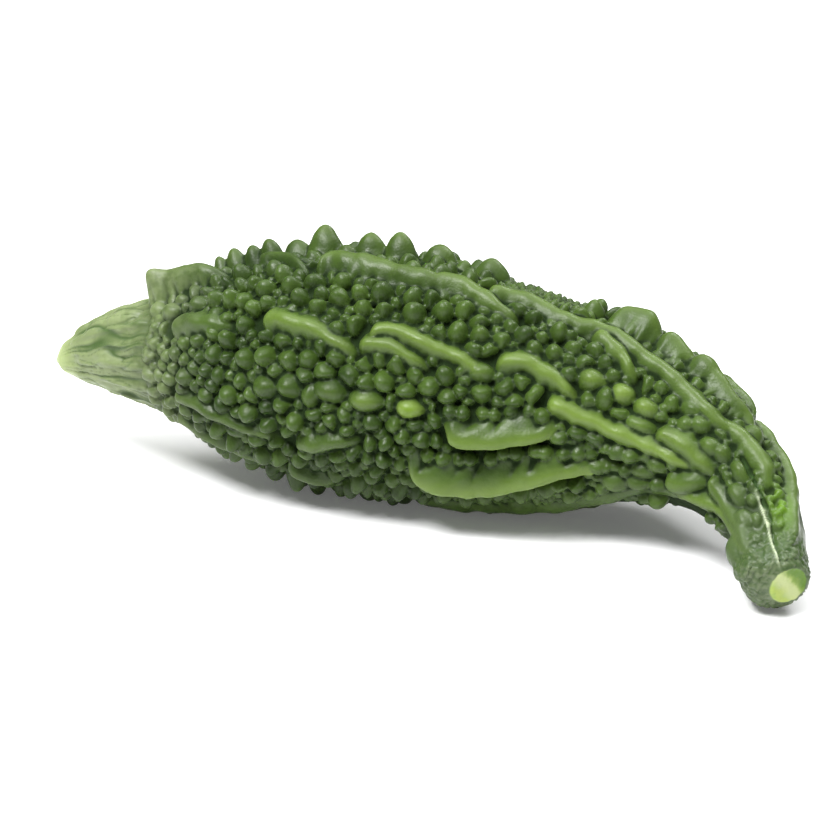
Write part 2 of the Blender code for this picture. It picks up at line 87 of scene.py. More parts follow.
# Each ridge is (light, path). light is how pale its crest is, from 0 to 1, partly its own paler colour
# and partly painted light on its top, and path is a list of (t, angle, height, half width), from its
# blunt head to its tapering tail.
FRONT_RIDGES = [
    (0.35, [(13.2, 85, 9, 2.8), (14.8, 85, 9.6, 3.4), (17.2, 85, 8.2, 3.6), (20, 85, 7, 3.4),
            (23, 84, 4, 2.8)]),
    (0.30, [(17.8, 39, 3.2, 3), (20.4, 42, 4.4, 3.6), (23, 41, 4.2, 3.4), (26, 38, 2.6, 2.6)]),
    (0.35, [(25.6, 92, 4.4, 2.6), (27.8, 90, 4.8, 2.8), (30.4, 84, 4.2, 2.8), (33, 73, 2.8, 2.4)]),
    (0.60, [(29.6, 41, 4, 3.2), (31.5, 42.5, 5, 3.6), (34, 40.5, 5, 3.5), (37, 37, 4.4, 3.2),
            (41, 29, 2.6, 2.4)]),
    (0.68, [(41.4, 40, 3.8, 2.8), (43.6, 43.5, 4.4, 3), (46.5, 40.5, 4.4, 3), (49.5, 37, 3.8, 2.8),
            (51.8, 35, 3.8, 2.8), (54.6, 30, 3.4, 2.8)]),
    (0.60, [(40.6, 34, 3.8, 2.7), (42.6, 36, 4.2, 2.9), (45, 34, 4, 2.8), (48.4, 27, 3, 2.4)]),
    (0.45, [(33.3, 76, 4.6, 3.6), (35.2, 82, 6.2, 4.4), (38.6, 79, 6, 4.6), (42, 77, 5.6, 4.2),
            (46, 75.5, 5.2, 3.8), (49, 75, 4.4, 3.4)]),
    (0.50, [(45.4, 75, 4.4, 3.2), (47.8, 77, 5.2, 3.8), (50.6, 74, 4.8, 3.8), (53.4, 68, 3.8, 3),
            (56.6, 63, 2.4, 2.2)]),
    (0.50, [(51.4, 79, 3.2, 2.8), (54, 82, 3.6, 3.3), (58, 80, 3.4, 3.3), (62, 76, 3.4, 3.1),
            (65.4, 79, 4.2, 3.2), (68, 76.5, 4, 3.2), (71.6, 74, 4, 3.1), (76.2, 70, 3.8, 3),
            (79.5, 70, 3.4, 2.8), (82.5, 76, 2.6, 2.4)]),
    (0.50, [(79.8, 73, 2, 2), (82, 79.5, 3, 2.8), (84.6, 86, 3.8, 3.3), (87.2, 89.5, 3.4, 3),
            (90, 91, 2.4, 2.4)]),
    (0.55, [(63.8, 72, 3.2, 2.9), (65.4, 72, 4.2, 3.2), (67.4, 67, 4.2, 3.3), (69.6, 61, 3.8, 3.1),
            (71.8, 55, 3, 2.8)]),
    (0.68, [(54.8, 37, 3.6, 2.8), (57.2, 41, 4.8, 3.4), (60, 39, 4.6, 3.2), (63, 34, 3.6, 2.8),
            (66.2, 28, 2.2, 2)]),
    (0.80, [(61.4, 22, 3.6, 2.7), (63.6, 22, 4.4, 3), (67, 20, 4.6, 3), (72, 17.5, 4.4, 2.8),
            (77, 16, 3.8, 2.6), (82.4, 22, 2.2, 2)]),
    (0.60, [(76, 29, 3.2, 2.6), (78.4, 32, 4, 3.2), (81, 32, 3.8, 3.2), (85, 33, 2.4, 2.4)]),
    (0.25, [(46, 297, 3.4, 3.8), (52, 298, 4.2, 4.4), (58, 298, 4.2, 4.4), (64, 304, 3.4, 4),
            (70, 318, 2.6, 3.4), (77, 336, 2, 2.8), (83, 348, 1.6, 2.2)]),
    (0.45, [(78.8, 353, 3.2, 2.8), (80.8, 359, 4, 3.5), (82.6, 366, 3.8, 3.4), (84.8, 377, 2.6, 2.6)]),
    (0.60, [(80.6, 345, 2.6, 2.4), (82.4, 350, 3, 2.6), (86, 366, 3, 2.4), (90.4, 380, 2.6, 2.2),
            (95, 394, 2.2, 2), (99, 404, 1.2, 1.6)]),
    (0.45, [(84, 388, 2.6, 2.3), (86.6, 386, 3, 2.6), (91.4, 392, 2.8, 2.5), (96, 403, 2.2, 2.2),
            (99, 412, 1.2, 1.6)]),
    (0.50, [(80.4, 123, 1.7, 2), (82.2, 127, 2.4, 2.7), (84.2, 128, 2.8, 2.9), (87, 128, 2.7, 2.9),
            (90.2, 126, 2.3, 2.7), (93.4, 122, 2, 2.3), (97.4, 116, 1.4, 1.8)]),
]
# Flaps are ridges whose crest leans down like the edge of a leaf, with lobes side by side up their
# outer face: (light, width of a lobe, path).
FLAPS = [
    (0.72, 8.6, [(50.2, 10, 7, 2.2), (52.5, 10, 9, 2.5), (56, 11.5, 9, 2.4), (60, 14.5, 7.6, 2.3),
                 (63, 15.5, 5, 2.1), (65, 15, 2.6, 1.8)]),
    (0.85, 7.4, [(46.5, 345, 8, 2.4), (50, 344, 10.2, 2.6), (54, 345, 10.4, 2.6), (58, 349, 10, 2.6),
                 (63, 355, 8, 2.4), (68, 357, 5.4, 2.2), (72, 357, 2.8, 1.8)]),
]
FLAP_LEAN = -56
FLAP_STEPS = 20
# Their grooves: how far they slant, how deep they are, and where they fade out below the crest, as
# shares of the flap's height.
FLAP_SLANT = 0.45
FLAP_GROOVE = 0.62
GROOVE_FADE = (0.3, 0.8)
# Beads in front of a flap's root: one in so many rows, their radius, and how far up they stand.
ROOT_BEAD_STEP = 10
ROOT_BEAD = (1.7, 2.4)
ROOT_BEAD_CLIMB = (0.02, 0.2)
# Knobs and teats are (t, angle, height, half length, half width, light), with a light of 0.3 if none is
# said. They narrow upward and lengthwise by these shares, and their middle is sunk below the skin.
KNOB_POINT = 0.1
TEAT_POINT = 0.16
EGG_BLUNT = 0.14
KNOB_SINK = 0.12
FRONT_KNOBS = [
    (31, 8, 4.2, 4.4, 3.7), (33.7, 10, 4.2, 4.2, 3.8), (36.2, 7, 3.8, 3, 4, 0.35),
    (38.4, 11, 4.2, 5.2, 3.6, 0.4), (42.3, 9, 4.4, 5.6, 3.4, 0.6), (46.8, 8, 4.2, 4.6, 3, 1.1),
    (31.8, 94, 3.6, 2.9, 2.6), (37.5, 94, 3.6, 2.9, 2.8), (39.4, 94, 3.2, 2.4, 2.4),
    (45.3, 96, 4.8, 3, 3), (47.9, 101, 4.4, 2.8, 2.8, 0.4), (50.6, 95, 3.8, 2.4, 2.6),
    (53.6, 31, 4, 4.2, 3.2, 0.5), (50.2, 49, 4.4, 2.9, 3.8), (52.6, 50, 4.2, 3, 2.9, 0.4),
    (58.8, 50, 3.8, 2.8, 2.8), (61, 51, 4.2, 2.8, 3), (66.4, 43, 4.2, 4.8, 3.5, 0.6),
    (68.6, 51, 3.8, 2.6, 2.5), (70.7, 42, 4, 3.9, 3.6, 0.8), (73.9, 40, 3.8, 4, 3.2, 0.7),
    (66.8, 30, 3.6, 2.7, 2.7), (78.2, 48, 3.2, 2.8, 2.8), (79.2, 56, 3.4, 3.6, 2.8),
    (77.8, 62, 3, 4.2, 2.4), (72, 338, 4.2, 4.6, 3.6, 0.4), (75.2, 341, 4, 4.4, 3, 0.4),
    (75.8, 352, 3.2, 4.2, 2.6, 0.4), (78.2, 342, 3, 3, 2.8, 0.2), (77.6, 2, 3, 3.6, 2.4, 0.4),
    (15, 64, 2.6, 3, 2.6, 0.2), (17, 58, 3, 3.6, 2.8, 0.2), (18, 68, 2.8, 2.6, 2.4, 0.2),
    (20.6, 58, 3.4, 3.4, 3, 0.2), (10, 72, 1.6, 6.5, 4.5, 0.1), (6.8, 66, 1.2, 5, 4, 0.1),
    (24.6, 80, 4.6, 2.9, 3.4), (81.6, 48, 3.4, 3.8, 3.2, 0.4), (83.2, 54, 3.2, 3.2, 2.8, 0.4),
    (86.4, 61, 3.1, 4.6, 2.5, 0.4), (89.1, 48, 3.1, 4.2, 2.8, 0.4), (92.9, 47, 3, 4.2, 2.5, 0.4),
    (90.7, 65, 2.1, 2.4, 1.6, 0.4), (93.4, 66, 1.9, 2.6, 1.5, 0.4), (95.9, 57, 1.7, 2.6, 2),
    (82.8, 99, 3.4, 3.4, 2.9, 0.4), (74, 27, 3.8, 4.8, 2.9, 0.5),
    (95.6, 17, 3.2, 5.6, 3.6), (98, 20, 1.4, 4, 4, 0.2), (97.2, 300, 1.6, 3.2, 3, 0.2),
    (96.8, 250, 1.4, 3.2, 3, 0.2),
]
BACK_TEATS = [
    (22.7, 104, 7.4, 4, 3.6, 0.4), (24.6, 104, 7, 3.8, 3.6, 0.4), (26.5, 104, 7.6, 4.2, 3.8, 0.4),
    (29.5, 104, 6.2, 5, 4, 0.4), (32.5, 104, 9.6, 5.8, 4.8, 0.5), (35.1, 101, 4.4, 3.8, 3.6, 0.4),
    (37.6, 104, 7.9, 5.4, 4.4, 0.45), (40.9, 104, 8.7, 5.3, 4.4, 0.5), (45.2, 104, 7, 6, 4.6, 0.5),
    (50.9, 104, 6.2, 5.8, 4.4, 0.45), (62.6, 100, 4.6, 3.4, 3.2, 0.4),
    (21, 103, 6.2, 3.4, 3.2, 0.35),
]
BACK_FINS = [
    (0.45, [(64.2, 98, 4.6, 4), (66, 99, 7.2, 4.8), (67.9, 99, 7.9, 5), (69.6, 98, 6.4, 4.4),
            (71.2, 97, 4.6, 3.6)]),
    (0.45, [(69.8, 99, 5.4, 3.6), (71.3, 99, 6.6, 4.4), (73.2, 98, 5, 4.2), (75.2, 97, 3.4, 3.2)]),
    (0.45, [(73.6, 100, 5, 3.2), (75, 100, 6.2, 3.8), (77, 100, 5, 3.6), (80, 102, 3.1, 3),
            (83, 106, 1.7, 2.4)]),
]
# The far ridges are broken pieces on lines of (angle, first t, last t). A piece's shape is rows of
# (way along, share of its swing aside, height, half width), times its size at that t.
FAR_LINES = [(142, 17, 90), (177, 16, 88), (212, 17, 91), (247, 17, 89), (283, 18, 70), (316, 17, 44),
             (344, 18, 42)]
FAR_SHAPE = [(0, 1, 3.6, 2.7), (0.35, 0.3, 5, 3.2), (0.7, -0.6, 4.4, 2.9), (1, -1, 2.4, 2)]
FAR_RIDGE_SIZE = [(15, 0.75), (30, 1), (60, 1), (74, 0.8), (79, 0.5), (90, 0.3)]
LONG_PIECE = (5, 15)
SHORT_PIECE = (5, 9)
SHORTEST_PIECE = 4
SHORT_FROM = 70
FAR_START = (0, 2)
FAR_SWING = (-5, 5)
FAR_GAP = (0.4, 1.6)
FAR_LIGHT = 0.4
# The far ridges that would stick out beside the neck, as (from t, low angle, high angle).
FAR_LEFT_OUT = (75, 120, 165)
# Underneath they are lower, by the share at each t.
BELLY_LINES = (247, 283)
BELLY_SHARE = [(15, 0.65), (62, 0.65), (70, 0.4), (90, 0.4)]
# Wrinkles round the blossom end: how many, where they start and end in t, and their height.
TIP_WRINKLES = 15
WRINKLE_START = (3, 7)
WRINKLE_END = (14, 18)
WRINKLE_HEIGHT = (0.8, 1.5)

# Beads: their radius along the fruit, and the share of it that large and small ones have. Large ones
# are thrown first and small ones where they still fit, then they push each other apart. Each then
# fills its own room between its neighbours, up to CELL_CAP times its radius.
BEADS_FROM, BEADS_TO = 14.5, 95
BEAD_RADIUS = [(14, 1.7), (17, 2.1), (23, 2.6), (32, 2.9), (46, 2.8), (60, 2.6), (70, 2.4), (80, 1.9),
               (86, 1.3), (92, 0.9)]
LARGE_BEAD = (0.82, 1.15)
SMALL_BEAD = (0.48, 0.7)
LARGE_THROWS = 14000
SMALL_THROWS = 20000
THROWN_SPACING = 0.75
BEAD_SPACING = 0.84
RIDGE_CLEARANCE = 0.12
SETTLE_STEPS = 12
BEAD_PUSH = 0.25
RIDGE_PUSH = 0.5
# How high beads stand, at each t and as shares of their reach, how pointed they are, how far they
# slant, and how strong the painted highlight on their tops is.
BEAD_RISE = [(14, 0.55), (22, 1), (80, 1), (95, 0.8)]
BEAD_LIFT = 0.42
BEAD_HEIGHT = (1.15, 1.6)
BEAD_POINT = 0.14
BEAD_SLANT = 0.10
BEAD_PAINTED_SHINE = (0, 0.3)
# A bead's cell: its cap, how sharp its corners are, its sides, and how far off in t neighbours count.
CELL_CAP = 1.5
CELL_CORNERS = 8
CELL_SIDES = 36
CELL_WINDOW = 5
# Strips with lower, finer beads, as (first t, last t, low angle, high angle, share of the radius).
FINE_STRIPS = [(83, 96, 84, 118, 1.3), (51.5, 62, 88, 140, 0.4), (56, 90, 235, 318, 0.5),
               (36, 62, 0, 14, 0.85), (36, 62, 318, 360, 0.85), (76, 84, 106, 165, 0.45),
               (84, 96, 118, 262, 0), (58, 86, 268, 312, 0), (91, 96, 0, 84, 0),
               (78, 96, 262, 348, 0), (91, 96, 348, 360, 0)]
# Beads of a smaller radius than this are left out.
SMALLEST_BEAD = 0.5
# Beads keep off ridges, whose last rows count as narrower, and off a flap's face without its ends.
TAIL_ROWS = 7
TAIL_WIDTH = 0.5
FLAP_FACE = slice(2, -8)
FACE_SHARES = (0.55, 0.75, 0.95)
FACE_WIDTH = 0.8
# Places that stay bare, as (t, angle, radius).
BARE_PLACES = [(96, 25, 6), (92, 66, 3)]

# The fused skin: its cell, its smoothing, how near the table it is pressed flat, and how wide bulges
# are measured.
SKIN_CELL = 0.45
SMOOTH_STEPS = 2
PRESSED_BELOW = 0.5
BULGE_STEPS = 10
# Slow swells that make every bead and ridge a little uneven.
LUMP_SIZE = 4.2
LUMP_HEIGHT = 0.42

# The smooth blossom end: where its swells fade out along the fruit, on ridges and at the very end, and
# how high they and how deep its creases are.
TIP_FADE = (11, 17)
TIP_LIFT = (1.5, 3.5)
TIP_RISE = (1.0, 12.0)
TIP_SWELL = 0.6
TIP_CREASE = 0.42
# The scales of its noise along and round the fruit, and how far a first noise turns it aside.
WARP_SCALE = (0.13, 1.7)
WARP_TURN = 0.16
SWELL_SCALE = (0.024, 2.5)
# The blistered skin near the stem: where it begins and where it fades out on knobs, and the size,
# crookedness, height and gaps of its blisters.
NECK_FADE = (93, 97)
NECK_LIFT = (1.0, 2.0)
BLISTER = 1.6
BLISTER_WARP = 0.55
BLISTER_HEIGHT = 0.4
BLISTER_GAP = 0.16
# The groove along the neck, as (t, angle), with a raised lip on its front side that carries a painted
# highlight line.
GROOVE = [(83.4, 68), (87, 70), (90.4, 77), (93.8, 83), (97.2, 87), (99.6, 92), (100, 93)]
GROOVE_DEPTH = 1.2
LIP_HEIGHT = 0.35
LIP_FROM = (89, 92)
# The yellow-green patch beside it: its middle and its half sizes in t and angle.
PATCH = (92.4, 102, 2.8, 16)
# The stem's scar: a round cut on the end, this far off its middle, and how far its face turns aside.
SCAR_RADIUS = 4.6
SCAR_OFFSET = 3.2
SCAR_ANGLE = 150
SCAR_TURN = 28
# The fine rings round it: their spacing and height.
SCAR_RINGS = 1.15
RING_HEIGHT = 0.14

# The photo's camera: AIM_POINT falls on AIM_PIXEL, at CAMERA_SCALE pixels a millimetre.
FRAME_PIXELS = 828
CAMERA_AZIMUTH = 26.8
CAMERA_ELEVATION = 22.0
CAMERA_DISTANCE = 700.0
CAMERA_SCALE = 3.68
AIM_POINT = (0.0, 2.0, 35.0)
AIM_PIXEL = (400, 370)
SENSOR_MM = 36.0

# Colours, as linear red, green, blue and alpha.
BEAD_DARK = (0.017, 0.036, 0.005, 1)
BEAD_LIGHT = (0.050, 0.090, 0.014, 1)
# Painted shade for the crevices and the low skin between beads and ridges.
CREVICE_SHADE_GREEN = (0.007, 0.018, 0.002, 1)
# Crests: partly their own paler colour, partly painted light on their tops.
CREST_PALE_AND_LIT_GREEN = (0.140, 0.215, 0.036, 1)
BRIGHT_BEAD = (0.10, 0.175, 0.008, 1)
TIP_PALE = (0.185, 0.230, 0.105, 1)
TIP_END = (0.34, 0.42, 0.15, 1)
NECK_GREY = (0.060, 0.088, 0.036, 1)
NECK_PALE = (0.120, 0.150, 0.080, 1)
PATCH_GREEN = (0.095, 0.190, 0.012, 1)
# Painted shade for the creases, the gaps between the neck's blisters and the neck's groove.
CREASE_SHADE_GREEN = (0.030, 0.065, 0.014, 1)
# A painted highlight line on the lip beside the neck's groove.
LIP_HIGHLIGHT = (0.55, 0.62, 0.42, 1)
SCAR_YELLOW = (0.33, 0.41, 0.08, 1)
SCAR_GREEN = (0.24, 0.34, 0.07, 1)
SCAR_WHITE = (0.44, 0.49, 0.24, 1)
SCAR_DIMPLE = (0.10, 0.19, 0.02, 1)

# Light: how bright the even surround is on the fruit, the glow that keeps the table white, and the
# lamps as (name, place and size in metres, watts).
SURROUND_LIGHT = 0.20
TABLE_GLOW = 0.10
LAMPS = [("overhead", (0.0, 0.1, 2.2), (3.2, 3.2), 85.0),
         ("key", (-0.15, -0.45, 0.85), (0.46, 0.32), 13.0),
         ("back", (0.25, 0.70, 0.75), (0.6, 0.2), 5.0)]

# Where the colours change, as shares of the way along the fruit.
TIP_END_SPAN = (0.045, 0.005)
TIP_PALE_SPAN = (0.24, 0.06)
WARTY_FROM = (0.10, 0.19)
LIGHTER_SPAN = (0.45, 0.72)
WARTY_TO = (0.97, 0.88)
NECK_GREY_SPAN = (0.86, 0.95)
NECK_PALE_SPAN = (0.975, 1.0)
# Where they change with a point's crest value, its bulge and its height over the body. The bulge and
# height spans put painted shade in the crevices and on the low skin between the beads.
CREST_SPAN = (0.2, 1.0)
BRIGHT_SPAN = (0.95, 1.15)
SHADE_BULGE = (0.02, -0.30)
SHADE_HEIGHT = (1.6, 0.1)
# The scales of the skin's blotches, specks and grain, and its roughness.
BLOTCHES = 90.0
SPECKS = 420.0
GRAIN = 1400.0
ROUGHNESS = (0.34, 0.44)

Knob = namedtuple("Knob", "t angle height length width light", defaults=[0.3])


def spline(points, per_span):
    """Rows of a smooth curve through the points, per_span rows between each two."""
    points = np.array(points, float)
    padded = np.vstack([2 * points[0] - points[1], points, 2 * points[-1] - points[-2]])
    steps = np.linspace(0, len(points) - 1, per_span * (len(points) - 1) + 1)
    span = np.minimum(steps.astype(int), len(points) - 2)
    u = (steps - span)[:, None]
    a, b, c, d = (padded[span + k] for k in range(4))
    bend = 2 * a - 5 * b + 4 * c - d
    twist = 3 * b - a - 3 * c + d
    return 0.5 * (2 * b + (c - a) * u + bend * u**2 + twist * u**3)


def evenly(rows, places, spacing):
    """The rows read again at equal steps along the curve of places, and each step's length so far."""
    steps = np.linalg.norm(np.diff(places, axis=0), axis=1)
    reach = np.concatenate([[0.0], np.cumsum(steps)])
    even = np.linspace(0, reach[-1], max(int(reach[-1] / spacing), 6))
    return np.column_stack([np.interp(even, reach, column) for column in rows.T]), even


def make_tree(points):
    tree = kdtree.KDTree(len(points))
    for k, place in enumerate(points):
        tree.insert(place, k)
    tree.balance()
    return tree


def unit(vectors):
    return vectors / np.linalg.norm(vectors, axis=-1, keepdims=True)


def eased(x, knots):
    """A smooth curve through (x, y) knots that never swings past them."""
    xs, ys = np.array(knots, float).T
    step = np.diff(xs)
    slope = np.diff(ys) / step
    inner = np.where(slope[1:] * slope[:-1] > 0,
                     2 * slope[1:] * slope[:-1] / (slope[1:] + slope[:-1] + 1e-12), 0)
    tangent = np.concatenate([[slope[0]], inner, [slope[-1]]])
    span = np.clip(np.searchsorted(xs, x) - 1, 0, len(step) - 1)
    u = (x - xs[span]) / step[span]
    rise = (2 * u**3 - 3 * u**2 + 1) * ys[span] + (3 * u**2 - 2 * u**3) * ys[span + 1]
    lead = (u**3 - 2 * u**2 + u) * tangent[span] + (u**3 - u**2) * tangent[span + 1]
    return rise + lead * step[span]


def at(t, knots):
    """The value at t on the straight lines between (t, value) knots."""
    return float(np.interp(t, *zip(*knots)))


def ramp(x, low, high):
    """0 below low and 1 above high, rising smoothly between them."""
    u = np.clip((x - low) / (high - low), 0, 1)
    return u * u * (3 - 2 * u)


def bell(x, width):
    return np.exp(-(x / width) ** 2)


def half_turn(angle):
    """An angle in degrees as one from -180 to 180."""
    return (angle + 180) % 360 - 180


class Body:
    """The smooth body under the warts, and the directions at any place on it."""

    def __init__(self):
        line = spline(MIDDLE_LINE, 60)
        self.line, reach = evenly(line, line, 0.5)
        self.line[:, :2] -= BOX_MIDDLE
        self.length = reach[-1]
        self.t = 100 * reach / self.length
        self.along = unit(np.gradient(self.line, axis=0))
        self.front = unit(np.cross(self.along, [0.0, 0.0, 1.0]))
        self.up = np.cross(self.front, self.along)
        self.girth = eased(self.t, GIRTH)
        self.flare = np.clip(np.gradient(self.girth, reach), -1.5, 1.5)

    def read(self, values, t):
        if values.ndim == 1:
            return np.interp(t, self.t, values)
        return np.stack([np.interp(t, self.t, column) for column in values.T], axis=-1)

    def radius(self, t):
        return self.read(self.girth, t)

    def place(self, t, angle):
        """Points on the skin, with their outward, lengthwise and sideways directions."""
        t, angle = np.broadcast_arrays(np.asarray(t, float), np.radians(angle))
        along, front, up = (unit(self.read(v, t)) for v in (self.along, self.front, self.up))
        cos, sin = np.cos(angle)[..., None], np.sin(angle)[..., None]
        radial = front * cos + up * sin
        around = up * cos - front * sin
        flare = self.read(self.flare, t)[..., None]
        points = self.read(self.line, t) + radial * self.radius(t)[..., None]
        return points, unit(radial - along * flare), unit(along + radial * flare), around

    def find(self, points):
        """The (t, angle) of any points, and how far each stands above the smooth body."""
        tree = make_tree(self.line)
        nearest = np.array([tree.find(p)[1] for p in points])
        offset = points - self.line[nearest]
        beyond = (offset * self.along[nearest]).sum(1)
        across = offset - self.along[nearest] * beyond[:, None]
        up, front = ((across * way[nearest]).sum(1) for way in (self.up, self.front))
        angle = np.degrees(np.arctan2(up, front))
        t = self.t[nearest] + beyond / self.length * 100
        return t, angle % 360, np.linalg.norm(across, axis=1) - self.radius(np.clip(t, 0, 100))


class Shapes:
    """Closed shapes gathered as plain points and faces, with a tone and a crest value for each point."""

    def __init__(self):
        self.points = []
        self.faces = []
        self.tones = []
        self.crests = []
        self.count = 0
        self.balls = {level: self.ball(level) for level in (2, 3)}

    def ball(self, level):
        ball = bmesh.new()
        bmesh.ops.create_icosphere(ball, subdivisions=level, radius=1.0)
        points = np.array([v.co for v in ball.verts])
        faces = np.array([[v.index for v in f.verts] for f in ball.faces])
        ball.free()
        return points, faces

    def add(self, points, faces, tone, crest):
        self.points.append(points)
        self.faces.append(faces + self.count)
        self.tones.append(np.full(len(points), tone))
        self.crests.append(np.broadcast_to(crest, len(points)))
        self.count += len(points)

    def add_rings(self, rings, first, last, tone, crest):
        """A tube of rings, all with the same number of points, closed by a point at each end."""
        rows, sides = rings.shape[:2]
        index = np.arange(rows * sides).reshape(rows, sides)
        after = np.roll(index, -1, axis=1)
        near = np.stack([index[:-1], after[:-1], after[1:]], axis=-1).reshape(-1, 3)
        far = np.stack([index[:-1], after[1:], index[1:]], axis=-1).reshape(-1, 3)
        start, end = np.full(sides, rows * sides), np.full(sides, rows * sides + 1)
        head = np.stack([start, after[0], index[0]], axis=-1)
        tail = np.stack([end, index[-1], after[-1]], axis=-1)
        values = np.broadcast_to(crest, (rows, sides)).ravel()
        self.add(np.vstack([rings.reshape(-1, 3), first, last]), np.vstack([near, far, head, tail]),
                 tone, np.concatenate([values, [0, 0]]))

    def add_egg(self, centre, axes, half, tone, light, point=KNOB_POINT):
        """An egg on three axes: lengthwise, sideways and out. half is its half sizes along them, and
        point is how much it narrows outward."""
        ball, faces = self.balls[3]
        egg = ball * half
        egg[:, 1:] *= 1 - EGG_BLUNT * ball[:, :1]
        egg[:, :2] *= 1 - point * np.clip(ball[:, 2:], 0, 1)
        crest = light * np.clip(ball[:, 2], 0, 1)
        self.add(centre + egg @ np.stack(axes), faces, tone, crest)

    def add_bead(self, centre, axes, reach, height, tone, light):
        """An egg whose outline over the skin is reach, at even turns from the first axis."""
        ball, faces = self.balls[3 if height > 1.6 else 2]
        turn = np.arctan2(ball[:, 1], ball[:, 0]) / (2 * np.pi) * len(reach) % len(reach)
        wide = np.interp(turn, np.arange(len(reach) + 1), [*reach, reach[0]])
        narrow = 1 - BEAD_POINT * np.clip(ball[:, 2], 0, 1)
        egg = np.column_stack([ball[:, 0] * wide * narrow, ball[:, 1] * wide * narrow, ball[:, 2] * height])
        self.add(centre + egg @ np.stack(axes), faces, tone, light * np.clip(ball[:, 2], 0, 1))

    def mesh(self, name):
        points, faces = np.vstack(self.points), np.vstack(self.faces)
        mesh = bpy.data.meshes.new(name)
        mesh.vertices.add(len(points))
        mesh.vertices.foreach_set("co", (points * MM).ravel())
        mesh.loops.add(faces.size)
        mesh.loops.foreach_set("vertex_index", faces.ravel())
        mesh.polygons.add(len(faces))
        mesh.polygons.foreach_set("loop_start", np.arange(0, faces.size, 3))
        mesh.update(calc_edges=True)
        return mesh


def add_body(shapes, body):
    """The smooth tube, with rings close enough together for its rounded ends."""
    t = np.concatenate([[0.15, 0.5], np.arange(1, 98.5, 0.5), [98.5, 99, 99.4, 99.7, 99.9, 100]])
    angle = np.arange(0, 360, 3.0)
    rings = body.place(t[:, None], angle[None, :])[0]
    shapes.add_rings(rings, body.line[0], body.line[-1] + 0.8 * body.along[-1], 0.0, 0.0)


def tapered(distance, reach):
    """0 at an end, rising as a quarter round to 1 at the distance reach."""
    u = np.clip(distance / reach, 0, 1)
    return np.sqrt(1 - (1 - u) ** 2)


def wavering(reach, rng, amount, *lengths):
    """An uneven wave along a ridge, up to the amount either way, of waves of about the given lengths."""
    waves = [np.sin(2 * np.pi * reach / (length * rng.uniform(0.8, 1.25)) + rng.uniform(0, 6.3))
             for length in lengths]
    return amount * (sum(waves) / len(waves))


def pointed(wave):
    """One side of a ridge's outline, made more or less pointed by CREST_POWER."""
    return (np.sign(wave) * np.abs(wave) ** CREST_POWER)[None, :]


def swept(body, path, step, head):
    """Even rows along a path, how far along it each is, and how much the ends taper there.
    head is how long the blunt head is, in half widths."""
    rows = spline(path, 12)
    rows, reach = evenly(rows, body.place(rows[:, 0], rows[:, 1])[0], step)
    tail = min(TAIL_SHARE * reach[-1], TAIL_LENGTH)
    taper = tapered(reach, head * rows[0, 3]) * tapered(reach[-1] - reach, tail)
    return rows, reach, np.maximum(taper, END_SHARE)


def add_swept(shapes, rings, root, lengthwise, rng, crest):
    """Adds swept rings, closed by a point past each end, in a slightly uneven tone."""
    first, last = root[0] - 0.4 * lengthwise[0], root[-1] + 0.4 * lengthwise[-1]
    shapes.add_rings(rings, first, last, rng.uniform(-TONE_SPREAD, TONE_SPREAD), crest)


def add_ridge(shapes, body, path, light, rng):
    """A ridge with a blunt head, fluted flanks and a long tail, swept along its path on the body."""
    rows, reach, swell = swept(body, path, RIDGE_STEP, 0.9)
    t, angle, height, width = rows.T
    points, out, lengthwise, sideways = body.place(t, angle)
    height = height * (1 + wavering(reach, rng, *HEIGHT_WAVE))
    width = width * (1 + wavering(reach, rng, *WIDTH_WAVE))
    points = points + sideways * wavering(reach, rng, *COURSE_WAVE)[:, None]
    turn = np.linspace(0, 2 * np.pi, RIDGE_SIDES, endpoint=False)
    across, upward = pointed(np.sin(turn)), pointed(np.cos(turn))
    low = np.clip(1 - upward, 0, 1) * np.clip(upward / 0.12, 0, 1)
    flutes = [wavering(reach, rng, FLUTES, FLUTE_LENGTH, 0.7 * FLUTE_LENGTH)[:, None] for _ in range(2)]
    foot = 1 + low * (FOOT_SPREAD * low + np.where(across > 0, *flutes))
    root = points - out * RIDGE_ROOT
    aside = sideways[:, None] * (across * foot * (width * swell)[:, None])[..., None]
    rise = out[:, None] * (upward * ((height + RIDGE_ROOT) * swell)[:, None])[..., None]
    rings = root[:, None] + aside + rise
    value = light * np.clip(upward, 0, 1) ** 1.6 * swell[:, None]
    add_swept(shapes, rings[:, ::-1], root, lengthwise, rng, value[:, ::-1])


